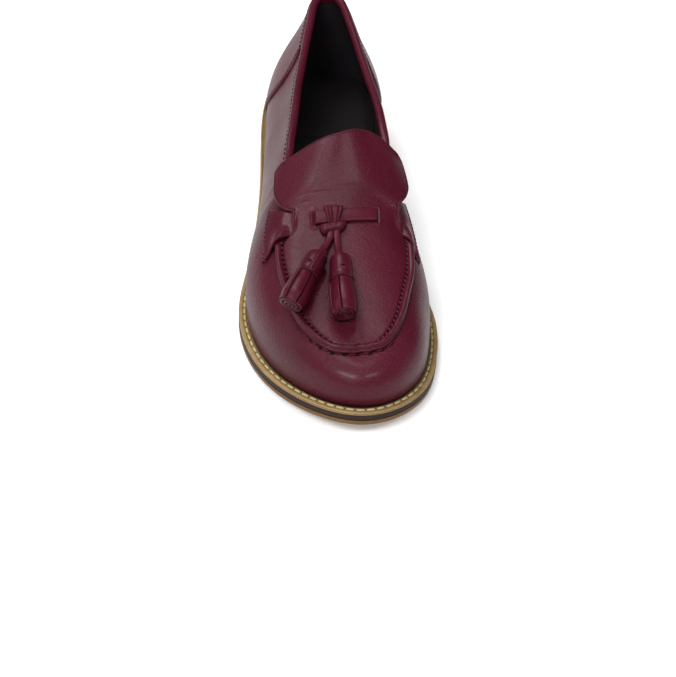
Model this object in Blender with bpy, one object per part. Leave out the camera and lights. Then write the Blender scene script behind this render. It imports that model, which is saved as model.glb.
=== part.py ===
"""Tassel loafer for a right foot, standing empty on its sole.

Frame: +Z up, toe towards -Y, the wearer's inner (medial) side towards +X, origin under the middle of the sole.
Sizes are millimetres, and the meshes are written in metres. A station is the distance forward from the back of
the heel. On each side u runs along the sole's edge from the back of the heel (0) to the tip of the toe (1), and v
runs up the upper's wall from the feather line, where it meets the welt (0), to the top line or the crest (1).
Some tables hold a row past an end that mirrors the row inside it, so that the two sides meet smoothly there.
"""

import bmesh
import bpy
import numpy as np

MM = 0.001
LATERAL, MEDIAL = -1, 1
SIDES = (LATERAL, MEDIAL)
GAP = 0.3

# Sole: the layers from the floor up, and the curve of the bottom
OUTSOLE_THICK = 2.6
MIDSOLE_THICK = 2.7
WELT_THICK = 1.6
INSOLE_THICK = 2.6
EDGE_ROUND = 0.6
HEEL_TAPER = 1.2
HEEL_BREAST = 68.0
SEAT_HEIGHT = 15.5
SEAT_RISE = 1.5
SEAT_START = 60.0
TREAD_BACK = 165.0
SPRING_START = 200.0
TOE_SPRING = 8.0
MIDSOLE_LEVEL = OUTSOLE_THICK + GAP
WELT_LEVEL = MIDSOLE_LEVEL + MIDSOLE_THICK + GAP
FEATHER_LEVEL = WELT_LEVEL + WELT_THICK + GAP

# Leather thicknesses, and the rolls' sizes
LEATHER = 2.0
APRON_THICK = 1.4
STRAP_THICK = 1.5
COUNTER_THICK = 1.0
LACE_THICK = 1.5
ROLL_RADIUS = 1.7
ROLL_OFFSET = 2.1
ROLL_START = 0.704
BINDING_WIDTH = 4.2
BINDING_TALL = 3.0
BINDING_END = 0.54
TASSEL_STRIPS = 9
STRIP_DEPTH = 0.5
FRINGE_ROW = 6

# Colour and roughness of each material
MATERIALS = {
    "burgundy_leather": ((0.095, 0.012, 0.021), 0.38),
    "tan_welt": ((0.400, 0.262, 0.110), 0.55),
    "dark_midsole": ((0.045, 0.030, 0.028), 0.60),
    "tan_outsole": ((0.205, 0.092, 0.032), 0.55),
    "black_lining": ((0.006, 0.005, 0.006), 0.75),
}

# Sole's edge in plan: x, station
SOLE_EDGE = [
    (1.5, 0.0),
    (-19.5, 7.0),
    (-29.0, 28.0),
    (-32.8, 62.0),
    (-35.0, 105.0),
    (-42.0, 150.0),
    (-47.0, 182.0),
    (-40.5, 219.0),
    (-21.5, 248.5),
    (8.0, 264.0),
    (33.5, 248.0),
    (44.5, 220.0),
    (47.0, 193.0),
    (40.5, 160.0),
    (28.5, 115.0),
    (29.0, 80.0),
    (32.0, 30.0),
    (22.5, 7.0),
]

# Welt left showing outside the upper: u, width
WELT_SHOWN = [
    (0.00, 2.6),
    (0.15, 2.8),
    (0.40, 3.4),
    (0.60, 4.2),
    (1.00, 4.4),
]

# Crest of the instep and vamp: station, x, z
CREST = [
    (100.0, 2.0, 85.0),
    (132.0, 2.0, 73.0),
    (150.0, 2.2, 65.5),
    (170.0, 2.5, 57.5),
    (190.0, 3.2, 50.0),
    (210.0, 4.2, 43.5),
    (228.0, 5.2, 38.0),
    (240.0, 6.0, 34.0),
    (250.0, 7.0, 29.5),
]

# Where each profile reaches the crest: u, station
CREST_REACH = [
    (0.40, 108.0),
    (0.48, 121.0),
    (0.55, 134.0),
    (0.66, 160.0),
    (0.76, 186.0),
    (0.86, 212.0),
    (0.93, 227.0),
    (1.00, 233.0),
    (1.07, 227.0),
]

# Top line: u, station, x of its middle, half width, z, lean inwards from upright in degrees, and how far up the
# profile that is carried on to the crest it lies
COLLAR = [
    (-0.04, 8.3, 3.0, -5.1, 73.3, 11.0, 0.60),
    (0.00, 7.0, 3.0, 0.0, 73.5, 10.0, 0.60),
    (0.04, 8.3, 3.0, 5.1, 73.3, 11.0, 0.60),
    (0.08, 12.5, 3.1, 8.0, 72.6, 13.0, 0.60),
    (0.14, 28.0, 3.3, 11.4, 70.4, 18.0, 0.60),
    (0.22, 50.0, 3.2, 15.3, 67.0, 22.0, 0.60),
    (0.32, 76.0, 3.0, 19.4, 64.5, 25.0, 0.60),
    (0.41, 98.0, 2.5, 22.2, 63.8, 29.0, 0.60),
    (0.46, 111.5, 2.1, 24.2, 62.6, 33.0, 0.60),
    (0.50, 122.0, 2.0, 26.0, 60.4, 38.0, 0.60),
    (0.53, 131.0, 2.0, 25.4, 58.3, 44.0, 0.61),
    (0.555, 137.5, 2.0, 21.0, 58.4, 56.0, 0.66),
    (0.575, 141.2, 2.1, 12.0, 62.5, 76.0, 0.80),
    (0.59, 142.9, 2.1, 0.0, 68.5, 90.0, 1.00),
]
THROAT_U = COLLAR[-1][0]
THROAT_EASE = 0.50

# Profiles: u, lateral and medial lean outwards at the feather line in degrees, and how far the curve holds its
# direction from the foot and from the top, as shares of the chord
PROFILE = [
    (-0.15, 7.0, 6.0, 0.38, 0.36),
    (0.00, 5.0, 5.0, 0.38, 0.36),
    (0.15, 7.0, 6.0, 0.38, 0.36),
    (0.32, 9.0, 6.0, 0.38, 0.36),
    (0.45, 12.0, 12.0, 0.38, 0.36),
    (0.55, 12.0, 14.0, 0.42, 0.40),
    (0.66, 9.0, 6.0, 0.50, 0.45),
    (0.76, 6.0, 2.0, 0.55, 0.50),
    (0.86, 8.0, 8.0, 0.60, 0.50),
    (1.00, 8.0, 8.0, 0.64, 0.46),
    (1.14, 8.0, 8.0, 0.60, 0.50),
]

# Apron, which runs on behind the throat as the tongue. A row per section, tongue first: u on the crest, then for
# each side u and v of the edge and how far the edge stands off the wall
APRON = [
    (0.531, 0.523, 0.620, 1.2, 0.506, 0.610, 6.0),
    (0.547, 0.533, 0.565, 1.2, 0.520, 0.562, 6.3),
    (0.578, 0.569, 0.568, 1.2, 0.571, 0.570, 6.3),
    (0.612, 0.612, 0.606, 1.0, 0.606, 0.600, 5.6),
    (0.637, 0.637, 0.660, 0.6, 0.634, 0.640, 3.4),
    (0.655, 0.652, 0.700, 0.2, 0.650, 0.636, 1.2),
    (0.688, 0.686, 0.686, 0.0, 0.678, 0.624, 0.2),
    (0.704, 0.702, 0.609, 0.0, 0.698, 0.583, 0.0),
    (0.745, 0.745, 0.592, 0.0, 0.745, 0.585, 0.0),
    (0.800, 0.800, 0.577, 0.0, 0.800, 0.619, 0.0),
    (0.840, 0.840, 0.574, 0.0, 0.840, 0.641, 0.0),
    (0.880, 0.880, 0.592, 0.0, 0.880, 0.660, 0.0),
    (0.920, 0.920, 0.658, 0.0, 0.920, 0.703, 0.0),
    (0.960, 0.960, 0.768, 0.0, 0.960, 0.784, 0.0),
    (1.000, 1.000, 0.840, 0.0, 1.000, 0.840, 0.0),
    (1.040, 1.040, 0.768, 0.0, 1.040, 0.784, 0.0),
]
APRON_SHARE = np.arange(len(APRON)) / (len(APRON) - 2)

# The tongue's top edge bows forward on one side and back on the other: shift in u at the middle of each half
TONGUE_BOW = {LATERAL: 0.009, MEDIAL: -0.016}
BOW_END = 0.25

# Straps: for each side the corners' u and v: back inner, front inner, front outer, back outer
STRAPS = {
    LATERAL: [(0.652, 0.672), (0.686, 0.658), (0.696, 0.444), (0.600, 0.520)],
    MEDIAL: [(0.612, 0.585), (0.676, 0.590), (0.709, 0.460), (0.575, 0.478)],
}

# Heel counter's front edge: v, u
COUNTER_EDGE = [
    (0.02, 0.190),
    (0.12, 0.200),
    (0.35, 0.224),
    (0.60, 0.230),
    (0.93, 0.200),
]

# Lace across the apron: its range in x and in station
LACE_X = (-12.0, 17.5)
LACE_STATION = (169.0, 177.5)

# Knot over the lace: station, half width, and its underside's and top's heights over the wall
KNOT_X = -2.8
KNOT = [
    (166.8, 4.0, 2.1, 3.4),
    (168.2, 4.4, 3.9, 5.6),
    (173.0, 3.6, 3.9, 6.0),
    (177.6, 2.9, 3.9, 6.0),
    (178.9, 5.8, 2.3, 6.0),
    (181.5, 5.4, 2.2, 5.6),
    (184.2, 3.8, 2.2, 3.6),
]

# Tassels: x, station, height over the wall and radius along each, from the knot to the end of its fringe
TASSELS = {
    LATERAL: [
        (-5.2, 185.9, 3.7, 1.3),
        (-7.6, 190.8, 4.9, 1.3),
        (-10.5, 196.4, 7.2, 1.4),
        (-11.0, 197.4, 7.3, 4.1),
        (-13.0, 201.0, 7.6, 4.9),
        (-16.3, 207.4, 8.0, 5.1),
        (-16.7, 208.2, 8.0, 4.8),
        (-19.7, 214.5, 8.8, 5.3),
        (-22.7, 222.6, 9.9, 5.4),
    ],
    MEDIAL: [
        (-1.9, 185.9, 3.7, 1.3),
        (-1.8, 191.5, 5.0, 1.3),
        (-1.6, 198.0, 7.6, 1.4),
        (-1.5, 199.2, 7.8, 4.6),
        (-1.4, 203.0, 8.1, 5.3),
        (-1.5, 210.6, 8.3, 5.5),
        (-1.5, 211.4, 8.3, 5.1),
        (-1.5, 219.5, 8.7, 6.1),
        (-1.3, 229.0, 8.9, 6.2),
    ],
}


def columns(rows):
    """The columns of a table, as arrays."""
    return np.array(rows, float).T


def smooth(x, knots, values):
    """Monotone cubic through (knots, values), so a curve never swings past its own rows."""
    step = np.diff(knots)
    rise = np.diff(values) / step
    slope = np.concatenate([[rise[0]], np.zeros(len(knots) - 2), [rise[-1]]])
    same = rise[:-1] * rise[1:] > 0
    before, after = 2 * step[1:] + step[:-1], step[1:] + 2 * step[:-1]
    weight = before / np.where(same, rise[:-1], 1) + after / np.where(same, rise[1:], 1)
    slope[1:-1] = np.where(same, (before + after) / weight, 0)
    x = np.clip(x, knots[0], knots[-1])
    k = np.clip(np.searchsorted(knots, x, side="right") - 1, 0, len(step) - 1)
    t = (x - knots[k]) / step[k]
    held = values[k] * (1 + 2 * t) + slope[k] * step[k] * t
    met = values[k + 1] * (3 - 2 * t) - slope[k + 1] * step[k] * (1 - t)
    return held * (1 - t) ** 2 + met * t**2


def lookup(rows, x, column=1):
    """One column of a table, read smoothly at x, which its first column gives."""
    table = columns(rows)
    return smooth(np.asarray(x, float), table[0], table[column])


def closed_curve(points, samples):
    """Closed cubic spline through points, by chord length."""
    here = np.array(points, float)
    there = np.roll(here, -1, axis=0)
    chord = np.linalg.norm(there - here, axis=1)
    back = np.roll(chord, 1)
    order = np.arange(len(here))
    system = np.diag(2 * (back + chord))
    system[order, order - 1] += back
    system[order, (order + 1) % len(here)] += chord
    steps = (there - here) / chord[:, None]
    bend = np.linalg.solve(system, 6 * (steps - np.roll(steps, 1, axis=0)))
    knots = np.concatenate([[0], np.cumsum(chord)])
    along = np.linspace(0, knots[-1], samples, endpoint=False)
    k = np.searchsorted(knots, along, side="right") - 1
    full = chord[k][:, None]
    gone = (along - knots[k])[:, None]
    left = full - gone
    next_bend = np.roll(bend, -1, axis=0)
    cubic = (bend[k] * left**3 + next_bend[k] * gone**3) / (6 * full)
    return cubic + (here[k] / full - bend[k] * full / 6) * left + (there[k] / full - next_bend[k] * full / 6) * gone


def edge_halves(samples=2400):
    """The sole's edge as two runs from heel to toe: for each side its u, its points and its outward normals."""
    loop = closed_curve(SOLE_EDGE, samples)
    loop[:, 0] -= (loop[:, 0].max() + loop[:, 0].min()) / 2
    loop[:, 1] -= loop[:, 1].min()
    ahead = np.roll(loop, -1, axis=0) - np.roll(loop, 1, axis=0)
    outward = np.stack([-ahead[:, 1], ahead[:, 0]], axis=1)
    outward /= np.linalg.norm(outward, axis=1)[:, None]
    start = loop[:, 1].argmin()
    loop = np.roll(loop, -start, axis=0)
    outward = np.roll(outward, -start, axis=0)
    tip = loop[:, 1].argmax()
    runs = {LATERAL: np.arange(tip + 1), MEDIAL: np.arange(samples, tip - 1, -1) % samples}
    halves = {}
    for side, run in runs.items():
        length = np.cumsum(np.linalg.norm(np.diff(loop[run], axis=0, prepend=loop[run[:1]]), axis=1))
        halves[side] = (length / length[-1], loop[run], outward[run])
    return halves


EDGE = edge_halves()
SOLE_LENGTH = EDGE[LATERAL][1][:, 1].max()


def edge(side, u, inset=0.0):
    """Points (x, station) on the sole's edge, moved in by inset, and the outward normals there."""
    share, points, outward = EDGE[side]
    point = np.stack([np.interp(u, share, points[:, k]) for k in (0, 1)], axis=-1)
    normal = np.stack([np.interp(u, share, outward[:, k]) for k in (0, 1)], axis=-1)
    return point - normal * np.broadcast_to(inset, np.shape(u))[..., None], normal


def place(x, station, z):
    """Points in the shoe's frame."""
    return np.stack(np.broadcast_arrays(x, SOLE_LENGTH / 2 - station, z), axis=-1)


def ease(t):
    """Soft step from 0 to 1."""
    t = np.clip(t, 0, 1)
    return t * t * (3 - 2 * t)


def sole_bottom(station):
    """Height of the outsole's underside: flat under the ball, sprung at the toe, raised over the arch and heel."""
    toe = TOE_SPRING * (np.clip(station - SPRING_START, 0, None) / (SOLE_LENGTH - SPRING_START)) ** 2
    arch = SEAT_HEIGHT * ease((TREAD_BACK - station) / (TREAD_BACK - SEAT_START))
    seat = SEAT_RISE * np.clip(1 - station / SEAT_START, 0, 1)
    return toe + arch + seat


def profile(side, u, v, end, lean, slope):
    """Cubic up the wall at (u, v), from the feather line to an end point.

    It leaves the feather line leaning outwards, and arrives with a lean from upright, along a slope if it lies flat.
    """
    foot, normal = edge(side, u, lookup(WELT_SHOWN, u))
    start = place(foot[..., 0], foot[..., 1], sole_bottom(foot[..., 1]) + FEATHER_LEVEL)
    foot_lean = np.radians(lookup(PROFILE, u, 1 if side == LATERAL else 2))
    chord = np.linalg.norm(end - start, axis=-1)
    inward = (end - start)[..., :2]
    inward = inward / np.maximum(np.linalg.norm(inward, axis=-1), 1e-6)[..., None]
    outward = np.sin(foot_lean)[..., None] * normal
    leave = np.stack([outward[..., 0], -outward[..., 1], np.cos(foot_lean)], axis=-1)
    flat = np.sin(lean)[..., None] * inward
    arrive = np.concatenate([flat, (np.cos(lean) + flat[..., 1] * slope)[..., None]], axis=-1)
    near = start + leave * (lookup(PROFILE, u, 3) * chord)[..., None]
    far = end - arrive * (lookup(PROFILE, u, 4) * chord)[..., None]
    v = v[..., None]
    return start * (1 - v) ** 3 + 3 * near * v * (1 - v) ** 2 + 3 * far * v**2 * (1 - v) + end * v**3


def wall(side, u, v, closed=False):
    """Outer face of the upper at (u, v).

    In front of the throat each profile runs to the crest, and with closed those behind it do too, as the tongue
    does. Without closed they end on the top line, easing from the one form into the other just behind the throat.
    """
    u, v = np.broadcast_arrays(np.asarray(u, float), np.asarray(v, float))
    reach = lookup(CREST_REACH, u)
    crest = place(lookup(CREST, reach), reach, lookup(CREST, reach, 2))
    slope = (lookup(CREST, reach - 1, 2) - lookup(CREST, reach + 1, 2)) / 2
    station, middle, half, z, lean, share = (lookup(COLLAR, u, k) for k in range(1, 7))
    over = profile(side, u, v if closed else v * share, crest, np.full(u.shape, np.pi / 2), slope)
    if closed:
        return over
    beside = profile(side, u, v, place(middle + side * half, station, z), np.radians(lean), 0.0)
    return beside + (over - beside) * ease((u - THROAT_EASE) / (THROAT_U - THROAT_EASE))[..., None]


def wall_normal(side, u, v, closed=False):
    """Outward unit normals of the wall, from small steps each way."""
    step = 1e-3
    along = wall(side, np.clip(u + step, 0, 1), v, closed) - wall(side, np.clip(u - step, 0, 1), v, closed)
    up = wall(side, u, v + step, closed) - wall(side, u, v - step, closed)
    normal = side * np.cross(up, along)
    return normal / np.linalg.norm(normal, axis=-1)[..., None]


def lay(x, station, lift):
    """Points lift above the instep over plan positions (x, station), the wall's u and v there by Newton's rule."""
    x, station, lift = np.broadcast_arrays(np.asarray(x, float), station, lift)
    target = place(x, station, 0.0)[..., :2]
    reach_u, reach = columns(CREST_REACH[:-1])
    found = np.zeros(x.shape + (3,))
    for side in SIDES:
        mine = side * (x - lookup(CREST, station)) >= 0
        u = np.interp(station[mine], reach, reach_u)
        v = np.full(u.shape, 0.9)
        for _ in range(25):
            here = wall(side, u, v, True)[..., :2]
            by_u = (wall(side, u + 1e-4, v, True)[..., :2] - here) / 1e-4
            by_v = (wall(side, u, v + 1e-4, True)[..., :2] - here) / 1e-4
            miss = target[mine] - here
            area = by_u[..., 0] * by_v[..., 1] - by_u[..., 1] * by_v[..., 0]
            u = np.clip(u + (miss[..., 0] * by_v[..., 1] - miss[..., 1] * by_v[..., 0]) / area, 0.42, 0.999)
            v = np.clip(v + (by_u[..., 0] * miss[..., 1] - by_u[..., 1] * miss[..., 0]) / area, 0.3, 1.0)
        found[mine] = wall(side, u, v, True) + wall_normal(side, u, v, True) * lift[mine][..., None]
    return found


def grid_faces(rows, across, ring=False):
    """Quads of a grid stored row by row, its last column joined to its first for a ring."""
    number = np.arange(rows * across).reshape(rows, across)
    if ring:
        number = np.concatenate([number, number[:, :1]], axis=1)
    return np.stack([number[:-1, :-1], number[:-1, 1:], number[1:, 1:], number[1:, :-1]], axis=-1).reshape(-1, 4)


def weld(points, faces):
    """One vertex for points that coincide, and no corner twice in a face."""
    points = points.reshape(-1, 3)
    _, first, number = np.unique(np.round(points / 1e-3), axis=0, return_index=True, return_inverse=True)
    welded = []
    for face in number.reshape(-1)[faces]:
        corners = [c for k, c in enumerate(face) if c != face[k - 1]]
        if len(set(corners)) > 2:
            welded.append(corners)
    return points[first], welded


def vertex_normals(points, faces):
    """Unit normals at the vertices, from the faces around each."""
    total = np.zeros_like(points)
    for face in faces:
        corner = points[face]
        total[face] += np.cross(corner[2] - corner[0], corner[-1] - corner[1])
    return total / np.linalg.norm(total, axis=1)[:, None]


def rim_edges(faces):
    """Edges that only one face uses, in that face's direction."""
    used = [(a, b) for face in faces for a, b in zip(face, face[1:] + face[:1])]
    known = set(used)
    return [(a, b) for a, b in used if (b, a) not in known]


def sheet(points, faces, low, high):
    """Solid between two offsets of one surface along its normals: its points, and its faces."""
    points, faces = weld(points, faces)
    normals = vertex_normals(points, faces)
    count = len(points)
    both = np.concatenate([points + normals * high, points + normals * low])
    under = [[c + count for c in reversed(face)] for face in faces]
    rim = [[b, a, a + count, b + count] for a, b in rim_edges(faces)]
    return both, faces + under + rim


def loft(loops):
    """Solid through closed loops that hold the same number of points, with a fan at each end."""
    loops = np.asarray(loops)
    rows, across = loops.shape[:2]
    points = np.concatenate([loops.reshape(-1, 3), loops[0].mean(0)[None], loops[-1].mean(0)[None]])
    faces = grid_faces(rows, across, ring=True).tolist()
    last = (rows - 1) * across
    for k in range(across):
        after = (k + 1) % across
        faces.append([after, k, rows * across])
        faces.append([last + k, last + after, rows * across + 1])
    return points, faces


def tube(path, radius, around, groove=0.0):
    """Round solid along a path; where groove is more than 0, every other line along it is cut in by that much."""
    ahead = np.gradient(path, axis=0)
    ahead /= np.linalg.norm(ahead, axis=1)[:, None]
    out = np.cross(ahead, [0, 0, 1])
    out /= np.linalg.norm(out, axis=1)[:, None]
    up = np.cross(out, ahead)
    angle = np.linspace(0, 2 * np.pi, around, endpoint=False)
    ring = out[:, None] * np.cos(angle)[None, :, None] + up[:, None] * np.sin(angle)[None, :, None]
    reach = radius[:, None] - np.broadcast_to(groove, radius.shape)[:, None] * (np.arange(around) % 2)
    return loft(path[:, None] + ring * reach[..., None])


def plan_halves(inset, last, count):
    """Both sides of the sole's edge, moved in by inset, at the same stations up to last."""
    u = np.linspace(0, 1, 1500)
    runs = [edge(side, u, inset)[0] for side in SIDES]
    start = max(run[0, 1] for run in runs)
    end = min(run[-1, 1] for run in runs)
    reach = np.pi if last >= end else np.pi / 2
    share = (1 - np.cos(np.linspace(0, reach, count))) / (1 - np.cos(reach))
    station = start + (min(last, end) - start) * share
    return station, [np.interp(station, run[:, 1], run[:, 0]) for run in runs]


def plate(levels, last=SOLE_LENGTH, count=40):
    """Solid of the sole's shape through a few levels, each an inset and a height over a station."""
    loops = []
    for inset, height in levels:
        station, (lateral, medial) = plan_halves(inset, last, count)
        z = height(station)
        loops.append(np.concatenate([place(lateral, station, z), place(medial, station, z)[::-1]]))
    across = 2 * count
    faces = grid_faces(len(loops), across, ring=True).tolist()
    top = (len(loops) - 1) * across
    for k in range(count - 1):
        quad = [k, k + 1, across - 2 - k, across - 1 - k]
        faces.append(quad)
        faces.append([top + c for c in reversed(quad)])
    return weld(np.concatenate(loops), np.array(faces))


def add_material(name):
    """Material of one colour and roughness."""
    colour, roughness = MATERIALS[name]
    material = bpy.data.materials.new(name)
    material.use_nodes = True
    shader = material.node_tree.nodes["Principled BSDF"]
    shader.inputs["Base Color"].default_value = (*colour, 1)
    shader.inputs["Roughness"].default_value = roughness


def add_node(name, material, points, faces):
    """Blender object from points in millimetres, its faces turned outwards."""
    mesh = bpy.data.meshes.new(name)
    mesh.from_pydata((np.asarray(points) * MM).tolist(), [], [list(map(int, face)) for face in faces])
    body = bmesh.new()
    body.from_mesh(mesh)
    bmesh.ops.recalc_face_normals(body, faces=body.faces)
    body.to_mesh(mesh)
    body.free()
    mesh.shade_smooth()
    mesh.set_sharp_from_angle(angle=np.radians(40))
    mesh.materials.append(bpy.data.materials[material])
    bpy.context.scene.collection.objects.link(bpy.data.objects.new(name, mesh))


def over_bottom(level):
    """Heights over the outsole's underside."""
    return lambda station: sole_bottom(station) + level


def build_sole():
    """Outsole, midsole and welt, each following the curved bottom, and the heel block under them."""
    bottom = [(EDGE_ROUND, over_bottom(0)), (0, over_bottom(EDGE_ROUND)), (0, over_bottom(OUTSOLE_THICK))]
    add_node("outsole", "tan_outsole", *plate(bottom))
    stripe = [(0, over_bottom(MIDSOLE_LEVEL)), (0, over_bottom(MIDSOLE_LEVEL + MIDSOLE_THICK))]
    add_node("midsole", "dark_midsole", *plate(stripe))
    block = [(HEEL_TAPER, np.zeros_like), (0, over_bottom(-GAP))]
    add_node("heel", "tan_outsole", *plate(block, last=HEEL_BREAST, count=20))
    u = np.linspace(0, 1, 41)
    inner = lookup(WELT_SHOWN, u) + LEATHER + GAP
    loops = []
    for inset, level in [(0, 0), (0, WELT_THICK), (inner, WELT_THICK), (inner, 0), (0, 0)]:
        runs = [edge(side, u, inset)[0] for side in SIDES]
        loop = np.concatenate([runs[0], runs[1][::-1]])
        loops.append(place(loop[:, 0], loop[:, 1], sole_bottom(loop[:, 1]) + WELT_LEVEL + level))
    add_node("welt", "tan_welt", *weld(np.array(loops), grid_faces(len(loops), 2 * len(u), ring=True)))


def build_insole():
    """Insole, inside the welt and the foot of the upper."""
    u = np.linspace(0, 1, 1500)
    within = lookup(WELT_SHOWN, u) + LEATHER + 2 * GAP
    levels = [(within, over_bottom(WELT_LEVEL)), (within, over_bottom(WELT_LEVEL + INSOLE_THICK))]
    add_node("insole", "black_lining", *plate(levels, count=34))


def build_upper():
    """Upper: one wall of leather, open at the top line, at the throat and underneath."""
    bands = [(0, 0.12, 8), (0.12, 0.46, 10), (0.46, THROAT_U, 6), (THROAT_U, 0.86, 10), (0.86, 1, 8)]
    u = np.unique(np.concatenate([np.linspace(start, end, count) for start, end, count in bands]))
    v = np.linspace(0, 1, 11)
    across, up = np.meshgrid(u, v)
    ring = np.concatenate([wall(LATERAL, across, up), wall(MEDIAL, across, up)[:, ::-1]], axis=1)
    points, faces = sheet(ring, grid_faces(len(v), 2 * len(u), ring=True), -LEATHER, 0)
    outer, inner = np.split(points, 2)
    feather = sole_bottom(SOLE_LENGTH / 2 - outer[:, 1]) + FEATHER_LEVEL
    inner[:, 2] = np.where(np.abs(outer[:, 2] - feather) < 1e-3, outer[:, 2], inner[:, 2])
    add_node("upper", "burgundy_leather", np.concatenate([outer, inner]), faces)


def apron_spot(share, side, down):
    """The wall's u and v, and the stand-off, at share along the apron and down from its crest (0) to its edge (1).

    u eases from the crest's to the edge's, with a hump near the crest that makes each row cross it squarely, and
    with the tongue's bow.
    """
    table = columns(APRON)
    first = 1 if side == LATERAL else 4
    crest_u, edge_u, edge_v, flare = (smooth(share, APRON_SHARE, table[k]) for k in (0, first, first + 1, first + 2))
    step = 1e-3
    top = np.ones_like(crest_u)
    by_v = (wall(side, crest_u, top, True) - wall(side, crest_u, top - step, True))[..., 1] / step
    by_u = (wall(side, crest_u + step, top, True) - wall(side, crest_u - step, top, True))[..., 1] / (2 * step)
    square = -by_v * (edge_v - 1) / np.minimum(by_u, -40.0) * ease((0.90 - crest_u) / 0.12)
    bow = 4 * TONGUE_BOW[side] * ease(1 - share / BOW_END)
    u = crest_u + (edge_u - crest_u) * ease(down) + (square * (1 - down) + bow) * down * (1 - down)
    return np.clip(u, 0, 1), 1 + (edge_v - 1) * down, flare * down**2


def build_apron():
    """Apron and tongue in one sheet, cut from the wall's own form and standing off it at the tongue's wings."""
    along, down = np.meshgrid(np.linspace(0, 1, 33), np.linspace(0, 1, 9), indexing="ij")
    halves = []
    for side in SIDES:
        u, v, flare = apron_spot(along, side, down)
        halves.append(wall(side, u, v, True) + wall_normal(side, u, v, True) * flare[..., None])
    grid = np.concatenate([halves[0][:, ::-1], halves[1]], axis=1)
    faces = grid_faces(*grid.shape[:2])[:, ::-1]
    add_node("apron", "burgundy_leather", *sheet(grid, faces, GAP, GAP + APRON_THICK))


def build_roll():
    """Roll sewn along the apron's edge, from strap to strap around the toe."""
    start = np.interp(ROLL_START, columns(APRON)[0], APRON_SHARE)
    share = np.linspace(start, 1, 30)
    halves = []
    for side in SIDES:
        u, v, _ = apron_spot(share, side, np.ones_like(share))
        climb = np.linalg.norm(wall(side, u, v + 1e-3) - wall(side, u, v - 1e-3), axis=-1) / 2e-3
        v = v - ROLL_OFFSET / climb
        halves.append(wall(side, u, v) + wall_normal(side, u, v) * (GAP + ROLL_RADIUS))
    path = np.concatenate([halves[0], halves[1][-2::-1]])
    add_node("apron_roll", "burgundy_leather", *tube(path, np.full(len(path), ROLL_RADIUS), 7))


def build_straps():
    """Strap ends on the vamp's two sides, between the tongue's wings and the roll."""
    along, out = np.meshgrid(np.linspace(0, 1, 8), np.linspace(0, 1, 6), indexing="ij")
    for side, name in ((LATERAL, "strap_lateral"), (MEDIAL, "strap_medial")):
        inner_back, inner_front, outer_front, outer_back = np.array(STRAPS[side])
        back = inner_back + (outer_back - inner_back) * out[..., None]
        front = inner_front + (outer_front - inner_front) * out[..., None]
        spot = back + (front - back) * along[..., None]
        grid = wall(side, spot[..., 0], spot[..., 1], True)
        faces = grid_faces(*out.shape)[:, ::-side]
        add_node(name, "burgundy_leather", *sheet(grid, faces, GAP, GAP + STRAP_THICK))


def build_counter():
    """Heel counter, wrapped around the back from one front edge to the other."""
    share, v = np.meshgrid(np.linspace(0, 1, 15), np.linspace(COUNTER_EDGE[0][0], COUNTER_EDGE[-1][0], 6))
    u = share * lookup(COUNTER_EDGE, v)
    grid = np.concatenate([wall(MEDIAL, u, v)[:, ::-1], wall(LATERAL, u, v)], axis=1)
    low = 1.4 * GAP
    add_node("heel_counter", "burgundy_leather", *sheet(grid, grid_faces(*grid.shape[:2]), low, low + COUNTER_THICK))


def build_binding():
    """Roll that sits on the top line, around the back and forward to the tongue on both sides."""
    u = BINDING_END * np.linspace(0, 1, 26) ** 1.4
    angle = np.linspace(0, 2 * np.pi, 8, endpoint=False)
    halves = []
    for side in SIDES:
        top = wall(side, u, np.ones_like(u))
        below = wall(side, u, np.full(len(u), 0.99))
        up = (top - below) / np.linalg.norm(top - below, axis=-1)[:, None]
        out = wall_normal(side, u, np.full(len(u), 0.99))
        centre = top - out * LEATHER / 2 + up * (GAP + BINDING_TALL / 2)
        wide = out[:, None] * (np.cos(angle) * BINDING_WIDTH / 2)[None, :, None]
        tall = up[:, None] * (np.sin(angle) * BINDING_TALL / 2)[None, :, None]
        halves.append(centre[:, None] + wide + tall)
    add_node("collar_binding", "burgundy_leather", *loft(np.concatenate([halves[0][::-1], halves[1][1:]])))


def build_lace():
    """Lace across the apron, and the knot that wraps it."""
    rest = GAP + APRON_THICK + 1.6 * GAP
    station, x = np.meshgrid(np.linspace(*LACE_STATION, 4), np.linspace(*LACE_X, 13), indexing="ij")
    faces = grid_faces(*x.shape)[:, ::-1]
    add_node("lace_bar", "burgundy_leather", *sheet(lay(x, station, 0.0), faces, rest, rest + LACE_THICK))
    across = np.linspace(-1, 1, 6)
    loops = []
    for station in np.linspace(KNOT[0][0], KNOT[-1][0], 14):
        half, low, high = (lookup(KNOT, station, k) for k in (1, 2, 3))
        under = lay(KNOT_X + half * across, station, low)
        over = lay(KNOT_X + half * across[::-1], station, high - 0.9 * across**2)
        loops.append(np.concatenate([under, over]))
    add_node("knot", "burgundy_leather", *loft(loops))


def build_tassels():
    """Tassels: thong, cap and a fringe of strips, each one solid turned along its own line."""
    for side, name in ((LATERAL, "tassel_lateral"), (MEDIAL, "tassel_medial")):
        rows = columns(TASSELS[side])
        row = np.arange(rows.shape[1], dtype=float)
        share = np.linspace(0, row[-1], 21)
        x, station, lift, radius = (smooth(share, row, values) for values in rows)
        groove = STRIP_DEPTH * (share >= FRINGE_ROW)
        add_node(name, "burgundy_leather", *tube(lay(x, station, lift), radius, 2 * TASSEL_STRIPS, groove))


for old in list(bpy.data.objects):
    bpy.data.objects.remove(old)
for material_name in MATERIALS:
    add_material(material_name)
build_sole()
build_insole()
build_upper()
build_apron()
build_roll()
build_straps()
build_counter()
build_binding()
build_lace()
build_tassels()
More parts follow.
